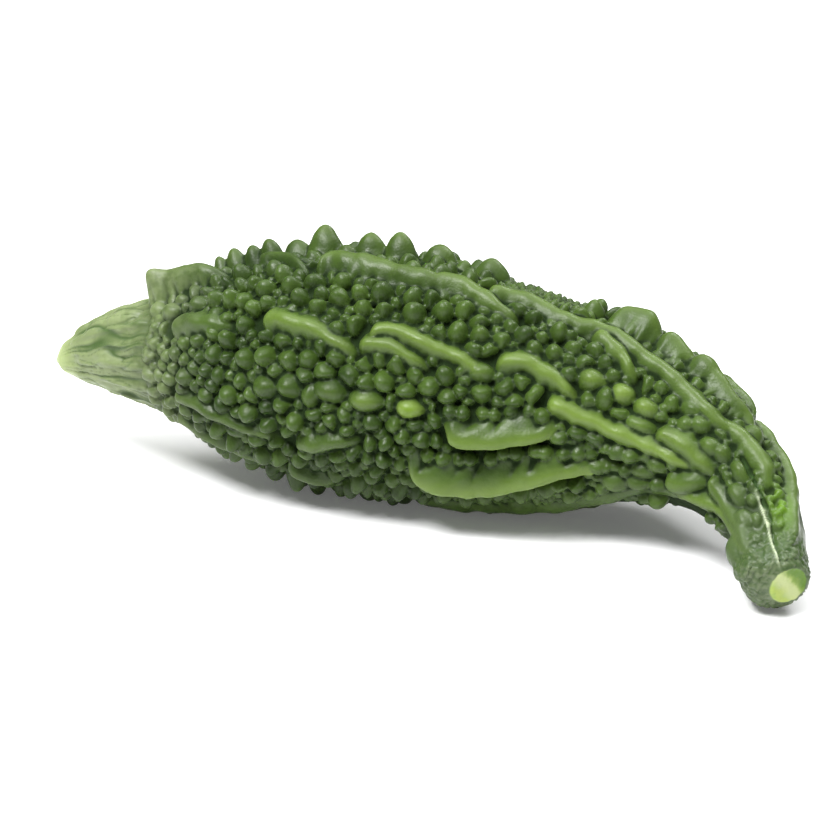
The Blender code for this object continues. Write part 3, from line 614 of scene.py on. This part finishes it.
def add_flap(shapes, body, path, light, rng, lobe):
    """A leaning leaf with a thin crest, and slanting grooves down its outer face from its root."""
    rows, reach, swell = swept(body, path, FLAP_STEP, 1.6)
    t, angle, height, width = rows.T
    swell, length = swell[:, None], (height + RIDGE_ROOT)[:, None]
    points, out, lengthwise, sideways = body.place(t, angle)
    tilt = math.radians(FLAP_LEAN)
    crest = out * math.cos(tilt) + sideways * math.sin(tilt)
    face = sideways * math.cos(tilt) - out * math.sin(tilt)
    climb = np.sin(np.linspace(0, np.pi / 2, FLAP_STEPS))
    climb = np.concatenate([climb, climb[-2:0:-1]])[None, :]
    outer = (np.arange(climb.size) < FLAP_STEPS)[None, :]
    groove = (reach[:, None] + FLAP_SLANT * climb * length) / lobe
    lobes = np.abs(np.sin(np.pi * (groove + wavering(reach, rng, *LOBE_WAVE)[:, None])))
    deep = FLAP_GROOVE * (1 + wavering(reach, rng, *GROOVE_WAVE)[:, None]) * (1 - ramp(climb, *GROOVE_FADE))
    thick = np.where(outer, 1 + 0.2 * (1 - climb) - deep * (1 - lobes), -0.6)
    thick = thick * np.sqrt(1 - climb ** 5) * width[:, None] * swell
    root = points - out * RIDGE_ROOT
    leaf = crest[:, None] * (climb * length * swell)[..., None]
    rings = root[:, None] + face[:, None] * thick[..., None] + leaf
    add_swept(shapes, rings, root, lengthwise, rng, light * climb ** 1.5 * swell)
    for row in range(4, len(t) - 8, ROOT_BEAD_STEP):
        k = row + rng.randint(-2, 2)
        radius = rng.uniform(*ROOT_BEAD)
        middle = root[k] + face[k] * width[k] + crest[k] * rng.uniform(*ROOT_BEAD_CLIMB) * length[k]
        half = np.array([radius, radius, 1.3 * radius])
        shapes.add_egg(middle, (lengthwise[k], sideways[k], out[k]), half, rng.uniform(-1, 1), 0.2)


def add_knob(shapes, body, knob, rng, point=KNOB_POINT):
    """A large egg whose middle is sunk below the skin."""
    place, out, lengthwise, sideways = body.place(knob.t, knob.angle)
    sink = KNOB_SINK * knob.height
    half = np.array([knob.length, knob.width, knob.height + sink])
    tone = rng.uniform(-TONE_SPREAD, TONE_SPREAD)
    shapes.add_egg(place - out * sink, (lengthwise, sideways, out), half, tone, knob.light, point)


def far_ridges(rng):
    """Broken ridges along the lines that the front doesn't show, each a path as FRONT_RIDGES has."""
    ridges = []
    for angle, first, last in FAR_LINES:
        t = first + rng.uniform(*FAR_START)
        while t < last - SHORTEST_PIECE:
            end = min(t + rng.uniform(*(LONG_PIECE if t < SHORT_FROM else SHORT_PIECE)), last)
            size = at(t, FAR_RIDGE_SIZE)
            if angle in BELLY_LINES:
                size *= at(t, BELLY_SHARE)
            swing = rng.uniform(*FAR_SWING)
            ridges.append([(t + way * (end - t), angle + aside * swing, height * size, width * size)
                           for way, aside, height, width in FAR_SHAPE])
            t = end + rng.uniform(*FAR_GAP)
    return ridges


def beside_neck(path):
    """Whether a far ridge would stick out beside the neck."""
    from_t, low, high = FAR_LEFT_OUT
    return path[0][0] >= from_t and low < path[0][1] < high


def tip_wrinkles(rng):
    """Low wrinkles that run from the smooth blossom end up to the first beads."""
    wrinkles = []
    for k in range(TIP_WRINKLES):
        angle = 360 * (k + rng.uniform(-0.2, 0.2)) / TIP_WRINKLES
        start = rng.uniform(*WRINKLE_START)
        end = rng.uniform(*WRINKLE_END)
        height = rng.uniform(*WRINKLE_HEIGHT)
        wrinkles.append([(start, angle, 0.4, 0.9), ((start + end) / 2, angle, height, 1.4),
                         (end, angle, 0.8 * height, 1.5)])
    return wrinkles


def feet(body, ridges, knobs):
    """Where ridges and knobs stand, as rows of (t, angle, half width), to keep beads off them."""
    rows = [np.array(BARE_PLACES, float)]
    for path in ridges:
        curve = spline(path, 5)
        curve[-TAIL_ROWS:, 3] *= TAIL_WIDTH
        rows.append(curve[:, [0, 1, 3]])
    for knob in knobs:
        step = 100 * max(knob.length - knob.width, 0) / body.length
        shift = np.array([-step, 0.0, step])
        rows.append(np.column_stack([knob.t + shift, np.full(3, knob.angle), np.full(3, knob.width)]))
    droop = math.sin(math.radians(FLAP_LEAN))
    for _, _, path in FLAPS:
        t, angle, height, width = spline(path, 6)[FLAP_FACE].T
        slope = np.degrees(droop * (height + RIDGE_ROOT) / body.radius(t))
        for share in FACE_SHARES:
            rows.append(np.column_stack([t, angle + share * slope, FACE_WIDTH * width]))
    return np.vstack(rows)


def offsets(body, beads, others):
    """Steps over the skin from the others to each bead, lengthwise and sideways."""
    lengthwise = (beads[:, None, 0] - others[None, :, 0]) * body.length / 100
    turn = half_turn(beads[:, None, 1] - others[None, :, 1])
    girth = 0.5 * (body.radius(beads[:, 0])[:, None] + body.radius(others[:, 0])[None, :])
    return np.stack([lengthwise, np.radians(turn) * girth])


def bead_radius(t, angle, share):
    """The radius of a bead there: share of the usual one, and finer in the fine strips."""
    for first, last, low, high, fine in FINE_STRIPS:
        if first < t < last and low < angle < high:
            share *= fine
    return share * at(t, BEAD_RADIUS)


def throw_beads(body, taken, rng):
    """Beads as rows of (t, angle, radius), thrown over the skin until there is no room for another."""
    throws = []
    for sizes, tries in ((LARGE_BEAD, LARGE_THROWS), (SMALL_BEAD, SMALL_THROWS)):
        for _ in range(tries):
            t, angle = rng.uniform(BEADS_FROM, BEADS_TO), rng.uniform(0, 360)
            radius = bead_radius(t, angle, rng.uniform(*sizes))
            if radius > SMALLEST_BEAD and rng.random() * body.girth.max() < body.radius(t):
                throws.append((t, angle, radius))
    throws = np.array(throws)
    places = body.place(throws[:, 0], throws[:, 1])[0]
    tree = make_tree(places)
    free = np.ones(len(throws), bool)
    for place, width in zip(body.place(taken[:, 0], taken[:, 1])[0], taken[:, 2]):
        for _, k, apart in tree.find_range(place, width + RIDGE_CLEARANCE * throws[:, 2].max()):
            free[k] &= apart > width + RIDGE_CLEARANCE * throws[k, 2]
    kept = []
    for k, (_, _, radius) in enumerate(throws):
        if not free[k]:
            continue
        kept.append(k)
        for _, j, apart in tree.find_range(places[k], THROWN_SPACING * (radius + throws[:, 2].max())):
            free[j] &= apart > THROWN_SPACING * (radius + throws[j, 2])
    return throws[kept]


def settle(body, beads, taken):
    """The beads push each other apart, and off the ridges, until they lie closely packed."""
    among_room = BEAD_SPACING * (beads[:, None, 2] + beads[None, :, 2])
    off_room = taken[None, :, 2] + RIDGE_CLEARANCE * beads[:, None, 2]
    rows = np.arange(len(beads))
    for _ in range(SETTLE_STEPS):
        steps = offsets(body, beads, beads)
        apart = np.hypot(*steps) + 1e-6
        moves = BEAD_PUSH * (steps * (np.clip(among_room - apart, 0, None) / apart)).sum(2)
        steps = offsets(body, beads, taken)
        apart = np.hypot(*steps) + 1e-6
        deepest = np.argmax(off_room - apart, axis=1)
        depth = np.clip(off_room[rows, deepest] - apart[rows, deepest], 0, None)
        moves += RIDGE_PUSH * steps[:, rows, deepest] * depth / apart[rows, deepest]
        beads[:, 0] = np.clip(beads[:, 0] + 100 * moves[0] / body.length, BEADS_FROM, BEADS_TO)
        beads[:, 1] += np.degrees(moves[1] / body.radius(beads[:, 0]))
    return beads


def cell(body, bead, others, taken):
    """How far a bead reaches over the skin in CELL_SIDES directions, up to its neighbours and ridges."""
    radius = bead[0, 2]
    steps = offsets(body, others, bead)[:, :, 0]
    apart = np.hypot(*steps)
    border = 0.5 * (apart ** 2 + radius ** 2 - others[:, 2] ** 2) / apart
    walls = offsets(body, taken, bead)[:, :, 0]
    far = np.hypot(*walls)
    border = np.concatenate([border, np.maximum(far - 0.8 * taken[:, 2], 0.5 * radius)])
    toward = np.arctan2(*np.hstack([steps, walls])[::-1])
    turn = np.linspace(0, 2 * np.pi, CELL_SIDES, endpoint=False)
    facing = np.clip(np.cos(turn[:, None] - toward[None, :]), 0.02, 1)
    crowding = ((facing / border[None, :]) ** CELL_CORNERS).sum(1) + (CELL_CAP * radius) ** -CELL_CORNERS
    return crowding ** (-1 / CELL_CORNERS)


def add_beads(shapes, body, beads, taken, rng):
    """Eggs that stand on the skin and fill their cells, of uneven height and slant."""
    for k, (t, angle, radius) in enumerate(beads):
        near = np.abs(beads[:, 0] - t) < CELL_WINDOW
        near[k] = False
        walls = taken[np.abs(taken[:, 0] - t) < CELL_WINDOW]
        reach = cell(body, beads[k:k + 1], beads[near], walls)
        point, out, lengthwise, sideways = body.place(t, angle)
        out = unit(out + lengthwise * rng.gauss(0, BEAD_SLANT) + sideways * rng.gauss(0, BEAD_SLANT))
        lengthwise = unit(lengthwise - out * (lengthwise @ out))
        axes = (lengthwise, np.cross(out, lengthwise), out)
        rise = float(np.mean(reach)) * at(t, BEAD_RISE)
        # The last value is the strength of the painted highlight on the bead's top.
        shapes.add_bead(point + out * BEAD_LIFT * rise, axes, reach, rise * rng.uniform(*BEAD_HEIGHT),
                        rng.uniform(-1, 1), rng.uniform(*BEAD_PAINTED_SHINE))


def gather_shapes(body):
    """Every shape of the fruit. The far ridges and wrinkles draw from a generator of their own."""
    rng = random.Random(SEED)
    looks = random.Random(SEED + 1)
    shapes = Shapes()
    add_body(shapes, body)
    knobs = [Knob(*row) for row in FRONT_KNOBS]
    teats = [Knob(*row) for row in BACK_TEATS]
    far = [(FAR_LIGHT, path) for path in far_ridges(rng) if not beside_neck(path)]
    upright = FRONT_RIDGES + BACK_FINS + far
    for light, path in upright:
        add_ridge(shapes, body, path, light, looks)
    for path in tip_wrinkles(rng):
        add_ridge(shapes, body, path, 0.2, looks)
    for light, lobe, path in FLAPS:
        add_flap(shapes, body, path, light, looks, lobe)
    for knob in knobs:
        add_knob(shapes, body, knob, looks)
    for teat in teats:
        add_knob(shapes, body, teat, looks, TEAT_POINT)
    paths = [path for _, path in upright] + [path for _, _, path in FLAPS]
    taken = feet(body, paths, knobs + teats)
    beads = settle(body, throw_beads(body, taken, looks), taken)
    add_beads(shapes, body, beads, taken, looks)
    return shapes


def fuse(shapes):
    """One closed skin round all the shapes, as a mesh of four-cornered faces."""
    rough = bpy.data.objects.new("rough", shapes.mesh("rough"))
    bpy.context.scene.collection.objects.link(rough)
    skin = rough.modifiers.new("skin", "REMESH")
    skin.mode = "VOXEL"
    skin.voxel_size = SKIN_CELL * MM
    mesh = bpy.data.meshes.new_from_object(rough.evaluated_get(bpy.context.evaluated_depsgraph_get()))
    bpy.data.objects.remove(rough, do_unlink=True)
    return mesh


def read(items, name, per=1, kind=float):
    """One property of all the items of a mesh, with per numbers for each."""
    values = np.empty(per * len(items), kind)
    items.foreach_get(name, values)
    return values.reshape(-1, per) if per > 1 else values


def write_points(mesh, points):
    mesh.vertices.foreach_set("co", (points * MM).ravel())
    mesh.update()


def read_normals(mesh):
    return read(mesh.vertex_normals, "vector", 3)


class Neighbours:
    """The mean of each point's neighbours, over the mesh's edges."""

    def __init__(self, mesh):
        self.edges = read(mesh.edges, "vertices", 2, int)
        self.count = len(mesh.vertices)
        self.degree = np.bincount(self.edges.ravel(), minlength=self.count)

    def mean(self, values):
        a, b = self.edges.T
        columns = values if values.ndim == 2 else values[:, None]
        total = [np.bincount(a, column[b], self.count) + np.bincount(b, column[a], self.count)
                 for column in columns.T]
        return (np.stack(total, axis=-1) / self.degree[:, None]).reshape(values.shape)


def smooth(points, around, steps):
    """Takes the cells' small steps out of the skin, without shrinking it."""
    for _ in range(steps):
        points = points + 0.5 * (around.mean(points) - points)
        points = points - 0.52 * (around.mean(points) - points)
    return points


def press_flat(points):
    """The lowest beads flatten against the table, and nothing goes below it."""
    low = points[:, 2] < PRESSED_BELOW
    points[low, 2] = PRESSED_BELOW * np.exp(points[low, 2] / PRESSED_BELOW - 1)
    return points


def nearest_values(shapes, points):
    """Each skin point's tone and crest, from the nearest point of the shapes that it came from."""
    tree = make_tree(np.vstack(shapes.points))
    nearest = np.array([tree.find(p)[1] for p in points])
    return np.concatenate(shapes.tones)[nearest], np.concatenate(shapes.crests)[nearest]


def noise_at(places):
    return np.array([noise.noise(place) for place in places])


def wrapped(s, a, long_scale, round_scale):
    """Places for noise that runs along the fruit and closes round it."""
    return np.stack([long_scale * s, round_scale * np.cos(a), round_scale * np.sin(a)], axis=-1)


def tip_detail(body, t, angle, lift):
    """Swells on the smooth blossom end with thin creases between them: their height, and the creases, which
    get painted shade.
    """
    fade = (1 - ramp(t, *TIP_FADE)) * (1 - ramp(lift, *TIP_LIFT))
    part = np.nonzero(fade > 0)[0]
    s, a = t[part] * body.length / 100, np.radians(angle[part])
    warp = noise_at(wrapped(s, a, *WARP_SCALE) + 9.0)
    places = wrapped(s, a + WARP_TURN * warp, *SWELL_SCALE)
    broad = noise_at(places)
    fine = noise_at(places * (3.0, 2.4, 2.4) + 5.0)
    lumps = noise_at(places * (6.0, 0.9, 0.9) + 15.0)
    creases = np.maximum(bell(broad, 0.05), 0.6 * bell(fine, 0.06))
    height, crease_shade = np.zeros(len(t)), np.zeros(len(t))
    swell = TIP_SWELL * (1.6 * np.abs(broad) + 0.5 * np.abs(fine) + 0.8 * lumps - 0.3)
    rise = ramp(s, *TIP_RISE)
    height[part] = fade[part] * rise * (swell - TIP_CREASE * creases)
    crease_shade[part] = fade[part] * rise * creases
    return height, crease_shade


def neck_detail(points, t, lift):
    """Blisters on the skin near the stem, with sunken gaps between them: their height, and the gaps, which
    get painted shade.
    """
    fade = ramp(t, *NECK_FADE) * (1 - 0.8 * ramp(lift, *NECK_LIFT))
    part = np.nonzero(fade > 0)[0]
    height, gaps = np.zeros(len(t)), np.zeros(len(t))
    # Without a seed, noise_vector starts from the clock.
    noise.seed_set(SEED)
    for k in part:
        place = Vector(points[k] / BLISTER)
        near = noise.voronoi(place + BLISTER_WARP * noise.noise_vector(place))[0]
        border = math.exp(-((near[1] - near[0]) / BLISTER_GAP) ** 2)
        height[k] = fade[k] * BLISTER_HEIGHT * (0.6 - near[0] - 0.7 * border)
        gaps[k] = fade[k] * border
    return height, gaps


def groove_detail(body, t, angle):
    """The long groove down the neck and its lip: the height, the groove, which gets painted shade, and the
    lip, which gets a painted highlight.
    """
    aside = np.radians(half_turn(angle - np.interp(t, *zip(*GROOVE)))) * body.radius(np.clip(t, 0, 99))
    there = ramp(t, GROOVE[0][0], GROOVE[0][0] + 3) * (1 - ramp(t, 98.5, 100))
    groove = bell(aside - 0.2, 0.45) * there
    lip_highlight = bell(aside + 0.55, 0.3) * there * ramp(t, *LIP_FROM)
    return LIP_HEIGHT * lip_highlight - GROOVE_DEPTH * groove, groove, lip_highlight


def scar_frame(body):
    """The middle of the stem's scar and its outward, sideways and upright directions."""
    along, front, up = body.along[-1], body.front[-1], body.up[-1]
    angle, turn = math.radians(SCAR_ANGLE), math.radians(SCAR_TURN)
    aside = front * math.cos(angle) + up * math.sin(angle)
    out = along * math.cos(turn) + aside * math.sin(turn)
    side = unit(np.cross(out, [0, 0, 1.0]))
    return body.line[-1] + 0.5 * along + SCAR_OFFSET * aside, out, side, np.cross(side, out)


def stamp_scar(body, points, t):
    """The points with the round scar pressed into the stem's end, and how each lies on the scar."""
    middle, out, side, up = scar_frame(body)
    offset = points - middle
    level, x, y = offset @ out, offset @ side, offset @ up
    far = np.hypot(x, y)
    near = (t > 95) & (level > -6)
    scar = np.where(near, 1 - ramp(far, SCAR_RADIUS - 0.4, SCAR_RADIUS + 1.0), 0)
    dish = -0.5 - 0.35 * bell(far, 3.0)
    rim = np.where(near, bell(far - SCAR_RADIUS - 0.7, 0.6), 0)
    ringed = np.where(near, ramp(far, 5.2, 6) * (1 - ramp(far, 9, 12)), 0)
    rings = np.sin(2 * np.pi * far / SCAR_RINGS) * ringed
    move = 0.8 * scar * (dish - level) + 0.35 * rim + RING_HEIGHT * rings
    return points + out * move[:, None], scar, x, y


def patch_share(t, angle):
    """How much of the yellow-green patch each place has."""
    middle_t, middle_angle, half_t, half_angle = PATCH
    return bell(t - middle_t, half_t) * bell(half_turn(angle - middle_angle), half_angle)


def bulges(points, around, normals):
    """How far each point stands out from the skin round it."""
    broad = points
    for _ in range(BULGE_STEPS):
        broad = around.mean(broad)
    return ((points - broad) * normals).sum(1)


def lay_out(mesh, t, angle):
    """A map for baking: along the fruit one way and round it the other, cut underneath."""
    layer = mesh.uv_layers.new(name="OFBake")
    corners = read(mesh.loops, "vertex_index", kind=int)
    starts = read(mesh.polygons, "loop_start", kind=int)
    round_it = (angle + 90) % 360
    first = np.repeat(round_it[corners[starts]], read(mesh.polygons, "loop_total", kind=int))
    turned = half_turn(round_it[corners] - first) + first
    uv = np.column_stack([0.01 + 0.98 * np.clip(t[corners], 0, 101) / 101, 0.02 + 0.96 * turned / 360])
    layer.data.foreach_set("uv", uv.astype(np.float32).ravel())


def make_skin():
    """The whole fruit as one fused mesh, with the values that its material reads."""
    body = Body()
    shapes = gather_shapes(body)
    mesh = fuse(shapes)
    around = Neighbours(mesh)
    points = smooth(read(mesh.vertices, "co", 3) / MM, around, SMOOTH_STEPS)
    tone, crest = nearest_values(shapes, points)
    t, angle, height = body.find(points)
    write_points(mesh, points)
    normals = read_normals(mesh)
    tip, tip_crease = tip_detail(body, t, angle, height)
    neck, neck_gaps = neck_detail(points, t, height)
    groove_move, groove, lip_highlight = groove_detail(body, t, angle)
    lumps = LUMP_HEIGHT * noise_at(points / LUMP_SIZE)
    points = points + normals * (tip + neck + groove_move + lumps)[:, None]
    points, scar, scar_x, scar_y = stamp_scar(body, points, t)
    points = press_flat(points)
    write_points(mesh, points)
    # The creases, the gaps between the neck's blisters and the groove, where shade is painted.
    creases = np.maximum.reduce([tip_crease, 0.8 * neck_gaps, groove])
    values = {"tone": around.mean(tone), "crest": around.mean(crest), "along": t / 100, "height": height,
              "bulge": bulges(points, around, read_normals(mesh)), "crease_shade": creases, "lip_highlight": lip_highlight,
              "scar": scar, "scar_x": scar_x, "scar_y": scar_y, "patch": patch_share(t, angle)}
    for name, value in values.items():
        layer = mesh.attributes.new(name, "FLOAT", "POINT")
        layer.data.foreach_set("value", np.asarray(value, np.float32))
    lay_out(mesh, t, angle)
    mesh.shade_smooth()
    mesh.name = "gourd_skin"
    skin = bpy.data.objects.new("gourd_skin", mesh)
    bpy.context.scene.collection.objects.link(skin)
    return skin


class Nodes:
    """Short calls that make and link shader nodes."""

    def __init__(self, name):
        self.material = bpy.data.materials.new(name)
        self.material.use_nodes = True
        self.tree = self.material.node_tree
        self.shader = self.tree.nodes["Principled BSDF"]

    def new(self, kind, **values):
        node = self.tree.nodes.new(kind)
        for key, value in values.items():
            setattr(node, key, value)
        return node

    def plug(self, socket, value):
        if isinstance(value, bpy.types.NodeSocket):
            self.tree.links.new(value, socket)
        else:
            socket.default_value = value

    def shade(self, name, value):
        self.plug(self.shader.inputs[name], value)

    def value(self, name):
        return self.new("ShaderNodeAttribute", attribute_name=name).outputs["Fac"]

    def maths(self, operation, a, b=0.0, clamp=False):
        node = self.new("ShaderNodeMath", operation=operation, use_clamp=clamp)
        self.plug(node.inputs[0], a)
        self.plug(node.inputs[1], b)
        return node.outputs[0]

    def times(self, a, b):
        return self.maths("MULTIPLY", a, b)

    def span(self, value, low, high, to_low=0.0, to_high=1.0):
        """value from low..high turned smoothly into to_low..to_high."""
        node = self.new("ShaderNodeMapRange", interpolation_type="SMOOTHSTEP")
        for socket, number in zip(node.inputs, (value, low, high, to_low, to_high)):
            self.plug(socket, number)
        return node.outputs[0]

    def mix(self, share, a, b):
        node = self.new("ShaderNodeMix", data_type="RGBA")
        self.plug(node.inputs[0], share)
        self.plug(node.inputs[6], a)
        self.plug(node.inputs[7], b)
        return node.outputs[2]

    def noise(self, place, scale, detail=2.0):
        node = self.new("ShaderNodeTexNoise")
        self.plug(node.inputs["Vector"], place)
        self.plug(node.inputs["Scale"], scale)
        self.plug(node.inputs["Detail"], detail)
        return node.outputs["Fac"]


def bead_colour(n, place, along):
    """Green in uneven tones, lighter toward the stem, paler on the crests, partly in their own colour and
    partly as painted light, and bright on one bead.
    """
    blotches = n.span(n.noise(place, BLOTCHES, 3.0), 0.3, 0.7, 0.15, 0.75)
    share = n.maths("ADD", n.times(n.value("tone"), 0.25), blotches, True)
    share = n.maths("ADD", share, n.span(along, *LIGHTER_SPAN, 0.0, 0.35))
    colour = n.mix(share, BEAD_DARK, BEAD_LIGHT)
    # Crests are paler partly in their own colour and partly as painted light on their tops.
    crest = n.value("crest")
    colour = n.mix(n.span(crest, *CREST_SPAN, 0.0, 0.9), colour, CREST_PALE_AND_LIT_GREEN)
    return n.mix(n.span(crest, *BRIGHT_SPAN), colour, BRIGHT_BEAD)


def end_colour(n, colour, along, fine):
    """The colour made pale at the blossom end and grey at the neck, with the patch there."""
    uneven = n.times(n.span(fine, 0.35, 0.65, -0.12, 0.12), n.span(along, 0.22, 0.16))
    pale = n.maths("ADD", n.span(along, *TIP_PALE_SPAN), uneven, True)
    colour = n.mix(n.times(pale, 0.92), colour, TIP_PALE)
    colour = n.mix(n.span(along, *TIP_END_SPAN, 0.0, 0.7), colour, TIP_END)
    colour = n.mix(n.times(n.span(along, *NECK_GREY_SPAN), 0.6), colour, NECK_GREY)
    specks = n.span(fine, 0.3, 0.7, 0.3, 1.0)
    colour = n.mix(n.times(n.span(along, *NECK_PALE_SPAN), specks), colour, NECK_PALE)
    return n.mix(n.value("patch"), colour, PATCH_GREEN)


def scar_colour(n, colour, fine):
    """The colour with the pale scar on it, which has a white streak and a green dimple."""
    across = n.maths("ADD", n.times(n.value("scar_x"), -0.75), n.times(n.value("scar_y"), 0.66))
    across = n.maths("ADD", across, n.span(fine, 0.3, 0.7, -0.4, 0.4))
    streak = n.times(n.span(across, -3.6, -0.6), n.span(across, 2.2, 0.2))
    flesh = n.mix(n.span(fine, 0.3, 0.7), SCAR_YELLOW, SCAR_GREEN)
    flesh = n.mix(n.times(streak, 0.8), flesh, SCAR_WHITE)
    flesh = n.mix(n.span(across, 0.4, 3.2), flesh, SCAR_DIMPLE)
    return n.mix(n.span(n.value("scar"), 0.3, 0.7), colour, flesh)


def skin_material():
    """Waxy green skin: painted shade between beads and in creases, crests pale in colour and by painted
    light, a painted lip highlight, a pale blossom end.
    """
    n = Nodes("gourd_skin")
    place = n.new("ShaderNodeTexCoord").outputs["Object"]
    along = n.value("along")
    fine = n.noise(place, SPECKS, 2.0)
    warty = n.times(n.span(along, *WARTY_FROM), n.span(along, *WARTY_TO))
    # Painted shade: dark where the skin bulges inward or lies low between the beads, on the warty part.
    crevice_shade = n.maths("MAXIMUM", n.span(n.value("bulge"), *SHADE_BULGE), n.span(n.value("height"), *SHADE_HEIGHT))
    deep = n.times(warty, crevice_shade)
    colour = end_colour(n, bead_colour(n, place, along), along, fine)
    colour = n.mix(deep, colour, CREVICE_SHADE_GREEN)
    # Painted shade in the creases, the blister gaps and the groove.
    colour = n.mix(n.times(n.value("crease_shade"), 0.85), colour, CREASE_SHADE_GREEN)
    # A painted highlight along the lip of the neck's groove.
    colour = n.mix(n.times(n.value("lip_highlight"), 0.8), colour, LIP_HIGHLIGHT)
    n.shade("Base Color", scar_colour(n, colour, fine))
    n.shade("Roughness", n.maths("MAXIMUM", n.span(fine, 0.3, 0.7, *ROUGHNESS), deep))
    n.shade("Specular IOR Level", 0.25)
    n.shade("Subsurface Weight", 0.06)
    n.shade("Subsurface Radius", (0.0010, 0.0018, 0.0004))
    n.shade("Subsurface Scale", 1.0)
    bump = n.new("ShaderNodeBump")
    n.plug(bump.inputs["Strength"], 0.30)
    n.plug(bump.inputs["Distance"], 0.0003)
    n.plug(bump.inputs["Height"], n.maths("ADD", n.noise(place, GRAIN, 3.0), fine))
    n.shade("Normal", bump.outputs["Normal"])
    return n.material


def make_floor():
    n = Nodes("table")
    n.shade("Base Color", (0.93, 0.93, 0.94, 1))
    n.shade("Roughness", 0.35)
    n.shade("Emission Color", (1, 1, 1, 1))
    n.shade("Emission Strength", TABLE_GLOW)
    bpy.ops.mesh.primitive_plane_add(size=8, location=(0, 0, -0.00002))
    floor = bpy.context.active_object
    floor.name = "table"
    floor.data.materials.append(n.material)


def view_axes():
    azimuth, elevation = math.radians(CAMERA_AZIMUTH), math.radians(CAMERA_ELEVATION)
    back = Vector((math.sin(azimuth) * math.cos(elevation), -math.cos(azimuth) * math.cos(elevation),
                   math.sin(elevation)))
    right = Vector((math.cos(azimuth), math.sin(azimuth), 0))
    return back, right, back.cross(right)


def make_camera():
    """The photo's camera, aimed beside the fruit's middle as far as the photo's framing does."""
    back, right, up = view_axes()
    middle = FRAME_PIXELS / 2
    aim = Vector(AIM_POINT) - Vector((*BOX_MIDDLE, 0))
    aim += right * (middle - AIM_PIXEL[0]) / CAMERA_SCALE - up * (middle - AIM_PIXEL[1]) / CAMERA_SCALE
    camera = bpy.data.objects.new("camera", bpy.data.cameras.new("camera"))
    camera.data.sensor_width = SENSOR_MM
    camera.data.lens = CAMERA_SCALE * CAMERA_DISTANCE / FRAME_PIXELS * SENSOR_MM
    camera.data.clip_start = 0.01
    camera.location = (aim + back * CAMERA_DISTANCE) * MM
    camera.rotation_euler = back.to_track_quat("Z", "Y").to_euler()
    bpy.context.scene.collection.objects.link(camera)
    bpy.context.scene.camera = camera


def add_lamp(name, place, size, power):
    """A soft white box that faces the fruit."""
    lamp = bpy.data.objects.new(name, bpy.data.lights.new(name, "AREA"))
    lamp.data.shape = "RECTANGLE"
    lamp.data.size, lamp.data.size_y = size
    lamp.data.energy = power
    lamp.location = place
    lamp.rotation_euler = Vector(place).to_track_quat("Z", "Y").to_euler()
    bpy.context.scene.collection.objects.link(lamp)


def make_light():
    """Large soft boxes above, and an even surround that is white to the eye but dim on the fruit."""
    world = bpy.data.worlds.new("studio")
    world.use_nodes = True
    tree = world.node_tree
    seen = tree.nodes.new("ShaderNodeLightPath").outputs["Is Camera Ray"]
    strength = tree.nodes.new("ShaderNodeMapRange")
    strength.inputs["To Min"].default_value = SURROUND_LIGHT
    tree.links.new(seen, strength.inputs["Value"])
    tree.links.new(strength.outputs["Result"], tree.nodes["Background"].inputs["Strength"])
    tree.nodes["Background"].inputs["Color"].default_value = (1, 1, 1, 1)
    bpy.context.scene.world = world
    for lamp in LAMPS:
        add_lamp(*lamp)
    bpy.context.scene.view_settings.view_transform = "Standard"


def main():
    make_camera()
    skin = make_skin()
    skin.data.materials.append(skin_material())
    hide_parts(NODE)
    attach(skin, "root")
    make_floor()
    make_light()


main()
